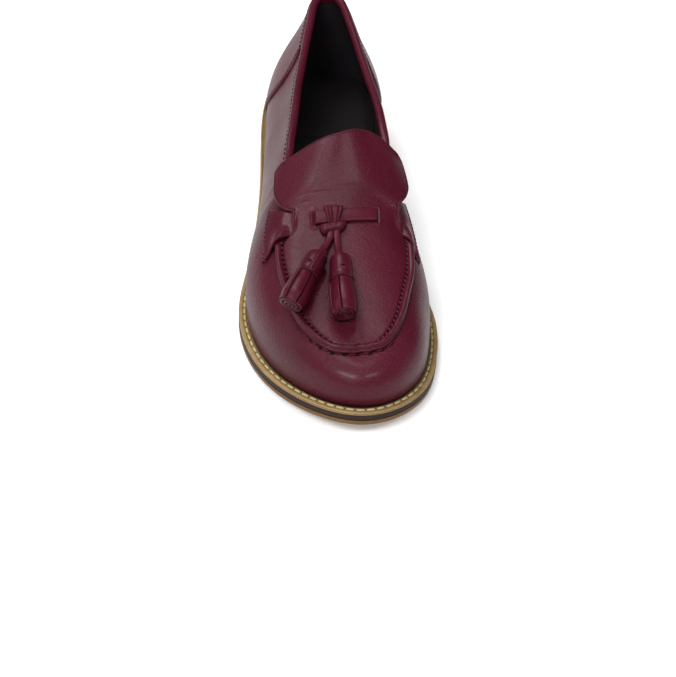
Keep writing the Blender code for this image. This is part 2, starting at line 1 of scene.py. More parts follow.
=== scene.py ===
"""Looks of the tassel loafer: fine leather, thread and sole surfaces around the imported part, and the studio.

Frame: +Z up, toe towards -Y, the wearer's inner (medial) side towards +X, origin under the middle of the
sole. Sizes are millimetres until a mesh is written in metres. A station is the distance forward from the
back of the heel. On each side u runs along the sole's edge from the back of the heel (0) to the tip of the
toe (1), and v runs up the upper's wall from the feather line (0) to the top line or the crest (1), as in the
part's own form.
"""

import bmesh
import bpy
import numpy as np
from mathutils import Matrix, Vector


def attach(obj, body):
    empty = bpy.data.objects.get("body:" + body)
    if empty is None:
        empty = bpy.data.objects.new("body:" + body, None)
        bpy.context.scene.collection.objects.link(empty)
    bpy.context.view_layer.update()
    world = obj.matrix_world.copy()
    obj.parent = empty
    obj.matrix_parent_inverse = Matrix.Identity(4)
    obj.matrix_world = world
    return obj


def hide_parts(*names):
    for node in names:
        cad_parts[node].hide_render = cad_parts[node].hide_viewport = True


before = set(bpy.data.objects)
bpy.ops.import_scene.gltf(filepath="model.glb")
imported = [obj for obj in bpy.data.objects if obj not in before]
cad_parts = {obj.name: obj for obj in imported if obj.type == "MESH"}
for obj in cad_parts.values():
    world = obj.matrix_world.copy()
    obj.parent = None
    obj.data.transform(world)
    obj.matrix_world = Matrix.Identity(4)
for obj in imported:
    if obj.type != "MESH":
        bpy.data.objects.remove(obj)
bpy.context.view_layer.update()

MM = 0.001
LATERAL, MEDIAL = -1, 1
SIDES = (LATERAL, MEDIAL)

# All four edges of a grid
ALL_EDGES = ("first", "last", "left", "right")

# Gap between neighbours, the distance under which a mesh's points become one, and the angle that stays sharp
GAP = 0.3
MERGE = 0.002
SHARP_ANGLE = 48.0

# Sole: the layers from the floor up, and the curve of the bottom
OUTSOLE_THICK = 2.6
MIDSOLE_THICK = 2.7
WELT_THICK = 1.6
INSOLE_THICK = 2.6
HEEL_TAPER = 1.2
HEEL_BREAST = 68.0
SEAT_HEIGHT = 15.5
SEAT_RISE = 1.5
SEAT_START = 60.0
TREAD_BACK = 165.0
SPRING_START = 200.0
TOE_SPRING = 8.0
MIDSOLE_LEVEL = OUTSOLE_THICK + GAP
WELT_LEVEL = MIDSOLE_LEVEL + MIDSOLE_THICK + GAP
FEATHER_LEVEL = WELT_LEVEL + WELT_THICK + GAP

# Edges of the sole's layers: inset from the sole's edge, and height over the curved bottom
OUTSOLE_SECTION = [
    (1.10, 0.00),
    (0.35, 0.18),
    (0.05, 0.60),
    (0.00, 1.40),
    (0.12, OUTSOLE_THICK),
]
MIDSOLE_SECTION = [
    (0.45, MIDSOLE_LEVEL - GAP),
    (0.28, MIDSOLE_LEVEL - GAP + 0.4),
    (0.28, MIDSOLE_LEVEL + MIDSOLE_THICK + GAP - 0.4),
    (0.45, MIDSOLE_LEVEL + MIDSOLE_THICK + GAP),
]

# Heel block up to its seat: inset, and height over the floor
HEEL_SECTION = [
    (HEEL_TAPER + 0.5, 0.0),
    (HEEL_TAPER, 0.5),
    (HEEL_TAPER * 0.75, 5.0),
]

# Sock in the insole's heel half: station of its front edge in the middle, that edge's curve, its thickness
SOCK_FRONT = 62.0
SOCK_CURVE = 7.0
SOCK_THICK = 0.55

# Leather thicknesses: the whole wall, its outer hide and the overlays
LEATHER = 2.0
HIDE = 1.0
APRON_THICK = 1.4
STRAP_THICK = 1.5
COUNTER_THICK = 1.0
LACE_THICK = 1.5

# Roll: how far its middle lies below the apron's edge, the crest's u where it starts, how far it runs on
# behind that as a share of the apron's length, and u for each share there
ROLL_OFFSET = 2.1
ROLL_START = 0.704
ROLL_RUN_ON = 0.04
RUN_ON_SLOPE = 0.6

# Binding: u where it ends, and how far below the top line its sewn line runs
BINDING_END = 0.54
BINDING_STITCH = 3.0

# Tassels: the rows of their table between which a cap's top rounds out and at which its band lies, the
# fringe's strips, and the half width of the split between two strips with the radius at which it is measured
CAP_TOP = (2.5, 3.1)
BAND_ROW = 5.5
TASSEL_STRIPS = 6
SPLIT_HALF = 0.19
SPLIT_RADIUS = 5.7

# Sole's edge in plan: x, station
SOLE_EDGE = [
    (1.5, 0.0),
    (-19.5, 7.0),
    (-29.0, 28.0),
    (-32.8, 62.0),
    (-35.0, 105.0),
    (-42.0, 150.0),
    (-47.0, 182.0),
    (-40.5, 219.0),
    (-21.5, 248.5),
    (8.0, 264.0),
    (33.5, 248.0),
    (44.5, 220.0),
    (47.0, 193.0),
    (40.5, 160.0),
    (28.5, 115.0),
    (29.0, 80.0),
    (32.0, 30.0),
    (22.5, 7.0),
]

# Welt left showing outside the upper: u, width
WELT_SHOWN = [
    (0.00, 2.6),
    (0.15, 2.8),
    (0.40, 3.4),
    (0.60, 4.2),
    (1.00, 4.4),
]

# Crest of the instep and vamp: station, x, z
CREST = [
    (100.0, 2.0, 85.0),
    (132.0, 2.0, 73.0),
    (150.0, 2.2, 65.5),
    (170.0, 2.5, 57.5),
    (190.0, 3.2, 50.0),
    (210.0, 4.2, 43.5),
    (228.0, 5.2, 38.0),
    (240.0, 6.0, 34.0),
    (250.0, 7.0, 29.5),
]

# Where each profile reaches the crest: u, station
CREST_REACH = [
    (0.40, 108.0),
    (0.48, 121.0),
    (0.55, 134.0),
    (0.66, 160.0),
    (0.76, 186.0),
    (0.86, 212.0),
    (0.93, 227.0),
    (1.00, 233.0),
    (1.07, 227.0),
]

# Vamp: the height of its soft waves, and its fullness over the waist: u, half length in u, height
WAVE_HEIGHT = 0.10
WAIST_FULLNESS = (0.38, 0.09, 1.0)

# Smoothing over the middle of the toe: how many columns it reaches either way, and how often it is done
TOE_REACH = 9.0
TOE_ROUNDS = 40

# Apron's front that is drawn smooth: x and y of its middle, and its reach
FRONT_MIDDLE = (5.6, -95.0)
FRONT_REACH = 20.0

# Top line: u, station, x of its middle, half width, z, lean inwards from upright in degrees, and how far up
# the profile that is carried on to the crest it lies
COLLAR = [
    (-0.04, 8.3, 3.0, -5.1, 73.3, 11.0, 0.60),
    (0.00, 7.0, 3.0, 0.0, 73.5, 10.0, 0.60),
    (0.04, 8.3, 3.0, 5.1, 73.3, 11.0, 0.60),
    (0.08, 12.5, 3.1, 8.0, 72.6, 13.0, 0.60),
    (0.14, 28.0, 3.3, 11.4, 70.4, 18.0, 0.60),
    (0.22, 50.0, 3.2, 15.3, 67.0, 22.0, 0.60),
    (0.32, 76.0, 3.0, 19.4, 64.5, 25.0, 0.60),
    (0.41, 98.0, 2.8, 21.8, 63.8, 29.0, 0.60),
    (0.46, 111.5, 2.4, 23.2, 62.6, 33.0, 0.60),
    (0.50, 122.0, 2.1, 24.3, 60.4, 38.0, 0.60),
    (0.53, 131.0, 1.6, 24.6, 58.3, 44.0, 0.61),
    (0.555, 137.5, 2.0, 21.0, 58.4, 56.0, 0.66),
    (0.575, 141.2, 2.1, 12.0, 62.5, 76.0, 0.80),
    (0.59, 142.9, 2.1, 0.0, 68.5, 90.0, 1.00),
]
THROAT_U = COLLAR[-1][0]
THROAT_EASE = 0.50

# Profiles: u, lateral and medial lean outwards at the feather line in degrees, and how far the curve holds
# its direction from the foot and from the top, as shares of the chord
PROFILE = [
    (-0.15, 7.0, 6.0, 0.38, 0.36),
    (0.00, 5.0, 5.0, 0.38, 0.36),
    (0.15, 7.0, 6.0, 0.38, 0.36),
    (0.32, 9.0, 6.0, 0.38, 0.36),
    (0.45, 12.0, 12.0, 0.38, 0.36),
    (0.55, 12.0, 14.0, 0.42, 0.40),
    (0.66, 9.0, 6.0, 0.50, 0.45),
    (0.76, 6.0, 2.0, 0.55, 0.50),
    (0.86, 8.0, 8.0, 0.60, 0.50),
    (1.00, 8.0, 8.0, 0.64, 0.46),
    (1.14, 8.0, 8.0, 0.60, 0.50),
]

# Apron and tongue, tongue first: u on the crest, then for each side u and v of the edge and its stand-off
APRON = [
    (0.531, 0.523, 0.620, 1.2, 0.506, 0.610, 6.0),
    (0.547, 0.533, 0.565, 1.2, 0.520, 0.562, 6.3),
    (0.578, 0.569, 0.568, 1.2, 0.571, 0.570, 6.3),
    (0.612, 0.612, 0.606, 1.0, 0.606, 0.600, 5.6),
    (0.637, 0.637, 0.660, 0.6, 0.634, 0.640, 3.4),
    (0.655, 0.652, 0.700, 0.2, 0.650, 0.636, 1.2),
    (0.688, 0.686, 0.686, 0.0, 0.678, 0.624, 0.2),
    (0.704, 0.702, 0.609, 0.0, 0.698, 0.583, 0.0),
    (0.745, 0.745, 0.592, 0.0, 0.745, 0.585, 0.0),
    (0.800, 0.800, 0.577, 0.0, 0.800, 0.619, 0.0),
    (0.840, 0.840, 0.574, 0.0, 0.840, 0.641, 0.0),
    (0.880, 0.880, 0.592, 0.0, 0.880, 0.660, 0.0),
    (0.920, 0.920, 0.658, 0.0, 0.920, 0.703, 0.0),
    (0.960, 0.960, 0.768, 0.0, 0.960, 0.784, 0.0),
    (1.000, 1.000, 0.840, 0.0, 1.000, 0.840, 0.0),
    (1.040, 1.040, 0.768, 0.0, 1.040, 0.784, 0.0),
]
APRON_SHARE = np.arange(len(APRON)) / (len(APRON) - 2)

# The tongue's top edge bows forward on one side and back on the other: shift in u at the middle of each half
TONGUE_BOW = {LATERAL: 0.009, MEDIAL: -0.016}

# Shares along the apron: where the bow has died out, where the tongue's sewn edge ends, where the straps lie
BOW_END = 0.25
TONGUE_END = 0.36
STRAP_SHARE = 0.40

# Soft folds of the tongue: x and station at its top, sideways run per millimetre forward, height, half width
# (a hollow has a height below 0), and the stations between which they die out
FOLDS_END = (154.0, 166.0)
TONGUE_FOLDS = [
    (-0.5, 130.0, -0.42, 0.34, 4.6),
    (7.4, 130.0, 0.18, 0.36, 4.6),
    (3.0, 138.0, -0.11, -0.12, 4.0),
    (16.1, 132.0, 0.33, -0.50, 4.6),
    (-14.5, 138.0, -0.57, -0.30, 5.0),
]

# Fine creases across the instep in front of the tongue: station, bow, x where it is deepest, half length,
# depth; and their half width
CREASE_HALF = 0.45
INSTEP_CREASES = [
    (157.6, 1.2, 8.0, 11.0, 0.10),
    (160.4, 0.9, -3.0, 13.0, 0.14),
    (162.6, 0.7, 9.0, 14.0, 0.13),
    (164.6, 0.5, -1.0, 12.0, 0.16),
    (166.3, 0.4, 13.0, 9.0, 0.12),
    (186.8, -0.6, -12.0, 8.0, 0.10),
    (189.9, -0.9, -13.5, 8.5, 0.10),
]

# Pleats that run in from the medial wing's notch, at an x and a station: the way they point in degrees from
# the side, length, depth
NOTCH = (28.4, 165.4)
NOTCH_PLEATS = [
    (196.0, 7.5, 0.22),
    (172.0, 9.0, 0.26),
    (148.0, 7.0, 0.20),
    (126.0, 5.0, 0.16),
]

# Straps: for each side the corners' u and v: back inner, front inner, front outer, back outer
STRAPS = {
    LATERAL: [(0.652, 0.672), (0.686, 0.658), (0.696, 0.444), (0.600, 0.520)],
    MEDIAL: [(0.612, 0.585), (0.676, 0.590), (0.709, 0.460), (0.575, 0.478)],
}

# Straps: how far each is tucked in under the apron, in v, and how far its front edge bows back and reaches
# on, in u
STRAP_TUCK = {LATERAL: 0.04, MEDIAL: 0.05}
STRAP_BOW = {LATERAL: 0.008, MEDIAL: 0.005}
STRAP_REACH = 0.005

# Straps: how far the front edge lifts over the roll and at its outer corner, and the fullness of the middle
STRAP_LIFT = 2.5
STRAP_TIP_LIFT = 0.9
STRAP_FULLNESS = 0.35

# Roll's section over the wall: distance out from its middle, and height
ROLL_SECTION = [
    (-1.95, 0.10),
    (-1.88, 0.95),
    (-1.50, 2.15),
    (-0.75, 3.00),
    (0.10, 3.00),
    (0.85, 2.20),
    (1.22, 1.62),
    (1.60, 1.64),
    (1.95, 1.25),
    (2.05, 0.45),
    (1.90, 0.05),
    (0.00, 0.00),
]

# What turns the ridge and lip, from the ridge's top outwards, into a round cord along the sides
ROLL_ROUNDING = [
    (0.00, 0.00),
    (0.15, 0.40),
    (0.28, 0.62),
    (0.22, 0.10),
    (0.05, -0.10),
]

# Heel counter's front edge: v, u
COUNTER_EDGE = [
    (0.02, 0.190),
    (0.12, 0.200),
    (0.35, 0.224),
    (0.60, 0.230),
    (0.93, 0.200),
]

# Binding's section round the top edge: distance out from the wall's face, and up from its top
BINDING_SECTION = [
    (0.03, -1.10),
    (0.32, -0.85),
    (0.66, -0.30),
    (1.00, 0.40),
    (1.14, 1.30),
    (0.80, 2.45),
    (-0.10, 3.10),
    (-1.20, 3.20),
    (-2.20, 2.85),
    (-2.90, 2.00),
    (-3.05, 0.80),
    (-2.80, -0.50),
    (-2.55, -1.70),
    (-2.20, -2.30),
    (-2.08, -1.60),
    (-2.08, -0.30),
    (-1.00, 0.15),
    (0.04, -0.30),
]

# Rim raised round the lace's slots: way out from the lace, half width, height
SLOT_RIM = (1.10, 0.55, 0.50)

# Sewn grooves: way in from the edge, half width, depth
APRON_GROOVE = (1.55, 0.28, 0.22)
STRAP_GROOVE = (1.40, 0.55, 0.30)
COUNTER_GROOVE = (2.00, 0.32, 0.25)

# Outer stitches round the apron's front: the share where they start on each side, how far they lie below the
# roll's middle, and their pitch
FRONT_STITCHES = (0.731, 0.814)
FRONT_OFFSET = 2.45
SEAM_PITCH = 5.7

# Stitches in the roll's valley: the share where they end, how far they lie below the apron's edge, their lift
SEAM_END = 0.885
VALLEY_OFFSET = 0.1
VALLEY_LIFT = 1.25

# Welt's stitches: how far they lie out from the upper, and u where they start
STITCH_INSET = 1.35
STITCH_START = 0.46

# Rows of stitches: pitch, length, width, height, how far each sinks in, and its slant in degrees
STITCHES = {
    "welt": (4.7, 4.5, 1.50, 0.80, 0.10, 0.0),
    "seam": (2.7, 2.3, 0.80, 0.75, 0.25, 32.0),
    "front": (SEAM_PITCH, 4.1, 1.10, 1.00, 0.15, 0.0),
    # Dark beads that paint the shade in the front seam's stitch holes
    "holes": (SEAM_PITCH, 2.3, 2.00, 0.60, 0.10, 0.0),
    "strap": (2.3, 2.5, 0.85, 0.70, 0.10, 30.0),
    "counter": (2.2, 1.7, 0.60, 0.50, 0.10, 0.0),
    "binding": (3.1, 1.9, 0.75, 0.40, 0.10, 0.0),
}

# Lace across the apron: for each end its x, and the stations of its back and front edges
LACE_ENDS = [
    (-12.0, 171.2, 178.2),
    (17.5, 169.2, 175.9),
]

# Lace: how deep its ends dive, how far from the end that starts, and the crown across it
LACE_DIVE = (1.5, 1.1)
LACE_CROWN = 0.25

# Knot: the upright wrap's station, x of its middle, half width and height over the wall
WRAP_UP = [
    (168.8, -2.9, 4.2, 1.9),
    (169.2, -2.9, 4.5, 4.0),
    (170.0, -2.9, 4.5, 5.2),
    (172.8, -2.9, 3.8, 5.6),
    (176.0, -3.1, 2.9, 5.5),
    (178.9, -3.3, 2.4, 5.0),
    (180.6, -3.3, 2.2, 3.5),
]

# Knot: the cross wrap's share round it, station, x of its middle, half width and height over the wall
WRAP_ACROSS = [
    (0.00, 178.2, -3.4, 6.0, 2.3),
    (0.15, 178.1, -3.4, 6.3, 3.8),
    (0.32, 178.6, -3.4, 6.4, 5.2),
    (0.50, 179.8, -3.4, 6.1, 5.9),
    (0.70, 181.4, -3.5, 5.3, 5.3),
    (0.87, 182.6, -3.6, 4.4, 3.9),
    (1.00, 183.0, -3.6, 3.9, 2.4),
]

# Knot: how far the cross wrap's medial end lies back from its middle, and its lateral end forward of it
KNOT_TILT = 1.0

# Knot: the upright wrap's folds and the cross wrap's pleats: place across from -1 to 1, half width, depth
WRAP_FOLDS = [
    (-0.60, 0.10, 0.45),
    (-0.18, 0.09, 0.42),
    (0.62, 0.10, 0.35),
]
WRAP_PLEATS = [
    (-0.20, 0.10, 0.12),
    (0.30, 0.10, 0.16),
]

# Knot: the cross wrap's lowest height over the wall; the upright wrap's least thickness, and its underside's
# height at the back, the rise from there and the station where that starts
WRAP_SEAT = 2.1
WRAP_THICK = 0.6
WRAP_UNDER = (2.0, 0.9, 169.3)

# Tassels: x, station, height over the wall and radius along each, from the knot to the end of its fringe
TASSELS = {
    LATERAL: [
        (-5.2, 185.9, 3.7, 1.3),
        (-7.6, 190.8, 4.9, 1.3),
        (-10.5, 196.4, 7.2, 1.4),
        (-10.9, 197.4, 7.3, 4.4),
        (-12.8, 201.0, 7.6, 5.3),
        (-16.0, 207.4, 8.0, 5.5),
        (-16.4, 208.2, 8.0, 5.2),
        (-19.2, 214.5, 8.8, 6.1),
        (-22.1, 222.6, 9.9, 6.5),
    ],
    MEDIAL: [
        (-1.9, 185.9, 3.7, 1.3),
        (-1.8, 191.5, 5.0, 1.3),
        (-1.6, 198.0, 7.6, 1.4),
        (-1.5, 199.2, 7.8, 4.6),
        (-1.4, 203.0, 8.1, 5.3),
        (-1.5, 210.6, 8.3, 5.5),
        (-1.5, 211.4, 8.3, 5.1),
        (-1.5, 219.5, 8.7, 6.1),
        (-1.3, 229.0, 8.9, 6.2),
    ],
}

# Tassels' thongs: x, station and height where each leaves the knot, the row of its tassel's table where it
# ends, half width and half thickness, and the angle at which the lateral one lies over its cap
THONG_START = {LATERAL: (-4.4, 181.2, 3.4), MEDIAL: (-1.9, 181.2, 3.6)}
THONG_END = {LATERAL: 5.3, MEDIAL: 2.8}
THONG_HALF = (1.65, 0.65)
THONG_OVER_CAP = 122.0

# Tassels' caps: the slit's angle round the cap in degrees, and its way back from the band; its depth, and the
# height of its lip
CAP_SLIT = {LATERAL: (76.0, 4.8), MEDIAL: (104.0, 5.0)}
SLIT_DEPTH = 1.1
LIP_HEIGHT = 0.45

# Fringe: the dip between two strips, each strip's tilt, the end's bulge, its layers and their depth
STRIP_DIP = 0.75
STRIP_TILT = 0.40
END_BULGE = 0.9
END_LAYERS = 3.3
LAYER_DEPTH = 0.55

# Leather and thread colours, and how near a neighbour must come for shade to be painted into a corner
BURGUNDY_DEEP = (0.047, 0.0018, 0.0086)
BURGUNDY_LIT = (0.074, 0.0040, 0.0150)
PURPLE_DEEP = (0.060, 0.0080, 0.0240)
PURPLE_LIT = (0.140, 0.0260, 0.0660)
CORNER_SHADE_REACH = 3.5

# Camera: where it stands round the shoe, in degrees and millimetres, and the photograph's frame in pixels
CAMERA_AZIMUTH = 5.0
CAMERA_ELEVATION = 37.3
CAMERA_ROLL = 2.7
CAMERA_DISTANCE = 1000.0
CAMERA_TARGET = (0.0, 0.0, 30.0)
FOCAL_PIXELS = 2030.0
FRAME_PIXELS = (676.0, 677.0)
TARGET_PIXEL = (332.3, 208.2)
SENSOR = 36.0

# Soft lights, in metres: name, place, target, size, watts
LIGHTS = [
    ("overhead", (-0.34, 0.56, 1.25), (0.0, 0.0, 0.03), (0.42, 0.42), 8.0),
    ("zenith", (-0.06, 0.20, 1.30), (0.0, 0.0, 0.03), (0.42, 0.25), 2.2),
    ("toe_left", (-0.42, -0.80, 1.15), (0.0, -0.1, 0.03), (0.55, 0.40), 11.5),
    ("toe_right", (0.40, -0.75, 1.15), (0.0, -0.1, 0.03), (0.45, 0.30), 5.5),
    ("front_key", (-0.50, -1.10, 0.95), (0.0, -0.08, 0.03), (0.8, 0.8), 4.4),
    ("left_panel", (-1.2, 0.0, 0.45), (0.0, 0.0, 0.04), (0.5, 1.3), 3.8),
    ("right_panel", (1.2, -0.1, 0.35), (0.15, 0.0, 0.0), (0.3, 1.2), 0.8),
]

# Floor: its half size and its level in metres, its two tones, and the glow that keeps it white as in a light
# tent
FLOOR_HALF = 3.0
FLOOR_LEVEL = -0.0002
FLOOR_TONES = (0.88, 0.91)
FLOOR_GLOW = 0.22

# Surroundings: their glow at the horizon, and higher up from the height at which it has faded to that
HORIZON_GLOW = 0.35
SKY_GLOW = 0.09
SKY_START = 0.25


def columns(rows):
    """The columns of a table, as arrays."""
    return np.array(rows, float).T


def smooth(x, knots, values):
    """Monotone cubic through (knots, values), so a curve never swings past its own rows."""
    step = np.diff(knots)
    rise = np.diff(values) / step
    slope = np.concatenate([[rise[0]], np.zeros(len(knots) - 2), [rise[-1]]])
    same = rise[:-1] * rise[1:] > 0
    before, after = 2 * step[1:] + step[:-1], step[1:] + 2 * step[:-1]
    weight = before / np.where(same, rise[:-1], 1) + after / np.where(same, rise[1:], 1)
    slope[1:-1] = np.where(same, (before + after) / weight, 0)
    x = np.clip(x, knots[0], knots[-1])
    k = np.clip(np.searchsorted(knots, x, side="right") - 1, 0, len(step) - 1)
    t = (x - knots[k]) / step[k]
    held = values[k] * (1 + 2 * t) + slope[k] * step[k] * t
    met = values[k + 1] * (3 - 2 * t) - slope[k + 1] * step[k] * (1 - t)
    return held * (1 - t) ** 2 + met * t**2


def lookup(rows, x, column=1):
    """One column of a table, read smoothly at x, which its first column gives."""
    table = columns(rows)
    return smooth(np.asarray(x, float), table[0], table[column])


def closed_curve(points, samples):
    """Closed cubic spline through points, by chord length."""
    here = np.array(points, float)
    there = np.roll(here, -1, axis=0)
    chord = np.linalg.norm(there - here, axis=1)
    back = np.roll(chord, 1)
    order = np.arange(len(here))
    system = np.diag(2 * (back + chord))
    system[order, order - 1] += back
    system[order, (order + 1) % len(here)] += chord
    steps = (there - here) / chord[:, None]
    bend = np.linalg.solve(system, 6 * (steps - np.roll(steps, 1, axis=0)))
    knots = np.concatenate([[0], np.cumsum(chord)])
    along = np.linspace(0, knots[-1], samples, endpoint=False)
    k = np.searchsorted(knots, along, side="right") - 1
    full = chord[k][:, None]
    gone = (along - knots[k])[:, None]
    left = full - gone
    next_bend = np.roll(bend, -1, axis=0)
    cubic = (bend[k] * left**3 + next_bend[k] * gone**3) / (6 * full)
    near = (here[k] / full - bend[k] * full / 6) * left
    far = (there[k] / full - next_bend[k] * full / 6) * gone
    return cubic + near + far


def run_along(points, axis=0):
    """Length gone along a path, or along a grid's lines in one of its two directions."""
    first = np.take(points, [0], axis=axis)
    return np.cumsum(np.linalg.norm(np.diff(points, axis=axis, prepend=first), axis=-1), axis=axis)


def read_at(at, run, points):
    """Points or directions, read at lengths along a run."""
    return np.stack([np.interp(at, run, values) for values in points.T], axis=-1)


def edge_halves(samples=2400):
    """The sole's edge as two runs from heel to toe: each side's u, points and outward normals."""
    loop = closed_curve(SOLE_EDGE, samples)
    loop[:, 0] -= (loop[:, 0].max() + loop[:, 0].min()) / 2
    loop[:, 1] -= loop[:, 1].min()
    ahead = np.roll(loop, -1, axis=0) - np.roll(loop, 1, axis=0)
    outward = np.stack([-ahead[:, 1], ahead[:, 0]], axis=1)
    outward /= np.linalg.norm(outward, axis=1)[:, None]
    start = loop[:, 1].argmin()
    loop = np.roll(loop, -start, axis=0)
    outward = np.roll(outward, -start, axis=0)
    tip = loop[:, 1].argmax()
    runs = {LATERAL: np.arange(tip + 1), MEDIAL: np.arange(samples, tip - 1, -1) % samples}
    halves = {}
    for side, run in runs.items():
        length = run_along(loop[run])
        halves[side] = (length / length[-1], loop[run], outward[run])
    return halves


EDGE = edge_halves()
SOLE_LENGTH = EDGE[LATERAL][1][:, 1].max()


def edge(side, u, inset=0.0):
    """Points (x, station) on the sole's edge, moved in by inset, and the outward normals there."""
    share, points, outward = EDGE[side]
    point, normal = read_at(u, share, points), read_at(u, share, outward)
    return point - normal * np.broadcast_to(inset, np.shape(u))[..., None], normal


def place(x, station, z):
    """Points in the shoe's frame."""
    return np.stack(np.broadcast_arrays(x, SOLE_LENGTH / 2 - station, z), axis=-1)


def ease(t):
    """Soft step from 0 to 1."""
    t = np.clip(t, 0, 1)
    return t * t * (3 - 2 * t)


def bell(t):
    """Soft hump: 1 in the middle, and nearly nothing past 2."""
    return np.exp(-np.square(t))


def rounded(way, radius):
    """Quarter round: 0 at an edge, 1 from radius inwards."""
    t = np.clip(way / radius, 0, 1)
    return np.sqrt(t * (2 - t))


def unit(vectors):
    """Vectors of length 1."""
    return vectors / np.maximum(np.linalg.norm(vectors, axis=-1), 1e-9)[..., None]


def sole_bottom(station):
    """Height of the outsole's underside: flat under the ball, raised at the toe, the arch and the heel."""
    toe = TOE_SPRING * (np.clip(station - SPRING_START, 0, None) / (SOLE_LENGTH - SPRING_START)) ** 2
    arch = SEAT_HEIGHT * ease((TREAD_BACK - station) / (TREAD_BACK - SEAT_START))
    seat = SEAT_RISE * np.clip(1 - station / SEAT_START, 0, 1)
    return toe + arch + seat


def profile(side, u, v, end, lean, slope):
    """Cubic up the wall at (u, v), from the feather line to an end point.

    It leaves the feather line leaning outwards, and arrives with a lean from upright, along a slope if it
    lies flat.
    """
    foot, normal = edge(side, u, lookup(WELT_SHOWN, u))
    start = place(foot[..., 0], foot[..., 1], sole_bottom(foot[..., 1]) + FEATHER_LEVEL)
    foot_lean = np.radians(lookup(PROFILE, u, 1 if side == LATERAL else 2))
    chord = np.linalg.norm(end - start, axis=-1)
    inward = (end - start)[..., :2]
    inward = inward / np.maximum(np.linalg.norm(inward, axis=-1), 1e-6)[..., None]
    outward = np.sin(foot_lean)[..., None] * normal
    leave = np.stack([outward[..., 0], -outward[..., 1], np.cos(foot_lean)], axis=-1)
    flat = np.sin(lean)[..., None] * inward
    arrive = np.concatenate([flat, (np.cos(lean) + flat[..., 1] * slope)[..., None]], axis=-1)
    near = start + leave * (lookup(PROFILE, u, 3) * chord)[..., None]
    far = end - arrive * (lookup(PROFILE, u, 4) * chord)[..., None]
    v = v[..., None]
    return start * (1 - v) ** 3 + 3 * near * v * (1 - v) ** 2 + 3 * far * v**2 * (1 - v) + end * v**3


def wall(side, u, v, closed=False):
    """Outer face of the upper at (u, v).

    In front of the throat each profile runs to the crest, and with closed those behind it do too, as the
    tongue does. Without closed they end on the top line, easing from the one form into the other just behind
    the throat.
    """
    u, v = np.broadcast_arrays(np.asarray(u, float), np.asarray(v, float))
    reach = lookup(CREST_REACH, u)
    crest = place(lookup(CREST, reach), reach, lookup(CREST, reach, 2))
    slope = (lookup(CREST, reach - 1, 2) - lookup(CREST, reach + 1, 2)) / 2
    station, middle, half, z, lean, share = (lookup(COLLAR, u, k) for k in range(1, 7))
    over = profile(side, u, v if closed else v * share, crest, np.full(u.shape, np.pi / 2), slope)
    if closed:
        return over
    beside = profile(side, u, v, place(middle + side * half, station, z), np.radians(lean), 0.0)
    return beside + (over - beside) * ease((u - THROAT_EASE) / (THROAT_U - THROAT_EASE))[..., None]


def wall_normal(side, u, v, closed=False):
    """Outward unit normals of the wall, from small steps each way."""
    step = 1e-3
    along = wall(side, np.clip(u + step, 0, 1), v, closed) - wall(side, np.clip(u - step, 0, 1), v, closed)
    up = wall(side, u, v + step, closed) - wall(side, u, v - step, closed)
    return unit(side * np.cross(up, along))


def lifted(base, normal, lift):
    """Points moved off a surface along its normals."""
    return base + normal * np.broadcast_to(lift, base.shape[:-1])[..., None]


def cross(first, second):
    """Area between two directions in plan."""
    return first[..., 0] * second[..., 1] - first[..., 1] * second[..., 0]


def lay_on(x, station):
    """Points and normals of the instep over plan positions (x, station); u and v there by Newton's rule."""
    x, station = np.broadcast_arrays(np.asarray(x, float), np.asarray(station, float))
    target = place(x, station, 0.0)[..., :2]
    reach_u, reach = columns(CREST_REACH[:-1])
    step = 1e-4
    found = np.zeros(x.shape + (3,))
    normal = np.zeros(x.shape + (3,))
    for side in SIDES:
        mine = side * (x - lookup(CREST, station)) >= 0
        u = np.interp(station[mine], reach, reach_u)
        v = np.full(u.shape, 0.9)
        for _ in range(25):
            here = wall(side, u, v, True)[..., :2]
            by_u = (wall(side, u + step, v, True)[..., :2] - here) / step
            by_v = (wall(side, u, v + step, True)[..., :2] - here) / step
            miss = target[mine] - here
            area = cross(by_u, by_v)
            u = np.clip(u + cross(miss, by_v) / area, 0.42, 0.999)
            v = np.clip(v + cross(by_u, miss) / area, 0.3, 1.0)
        found[mine] = wall(side, u, v, True)
        normal[mine] = wall_normal(side, u, v, True)
    return found, normal


def lay(x, station, lift):
    """Points lift above the instep over plan positions (x, station)."""
    found, normal = lay_on(x, station)
    return lifted(found, normal, lift)


def apron_spot(share, side, down):
    """Wall's u and v, and the stand-off, at a share along the apron, down from its crest (0) to its edge (1).

    u eases from the crest's to the edge's, with a hump near the crest that makes each row cross it squarely,
    and with the tongue's bow.
    """
    first = 1 if side == LATERAL else 4
    rows = columns(APRON)[[0, first, first + 1, first + 2]]
    crest_u, edge_u, edge_v, flare = (smooth(share, APRON_SHARE, row) for row in rows)
    step = 1e-3
    by_v = (wall(side, crest_u, 1.0, True) - wall(side, crest_u, 1.0 - step, True))[..., 1] / step
    ahead, behind = (wall(side, crest_u + way, 1.0, True) for way in (step, -step))
    by_u = (ahead - behind)[..., 1] / (2 * step)
    square = -by_v * (edge_v - 1) / np.minimum(by_u, -40.0) * ease((0.90 - crest_u) / 0.12)
    bow = 4 * TONGUE_BOW[side] * ease(1 - share / BOW_END)
    u = crest_u + (edge_u - crest_u) * ease(down) + (square * (1 - down) + bow) * down * (1 - down)
    return np.clip(u, 0, 1), 1 + (edge_v - 1) * down, flare * down**2


def grid_faces(rows, across):
    """Quads of a grid stored row by row."""
    number = np.arange(rows * across).reshape(rows, across)
    corners = [number[:-1, :-1], number[:-1, 1:], number[1:, 1:], number[1:, :-1]]
    return np.stack(corners, axis=-1).reshape(-1, 4)


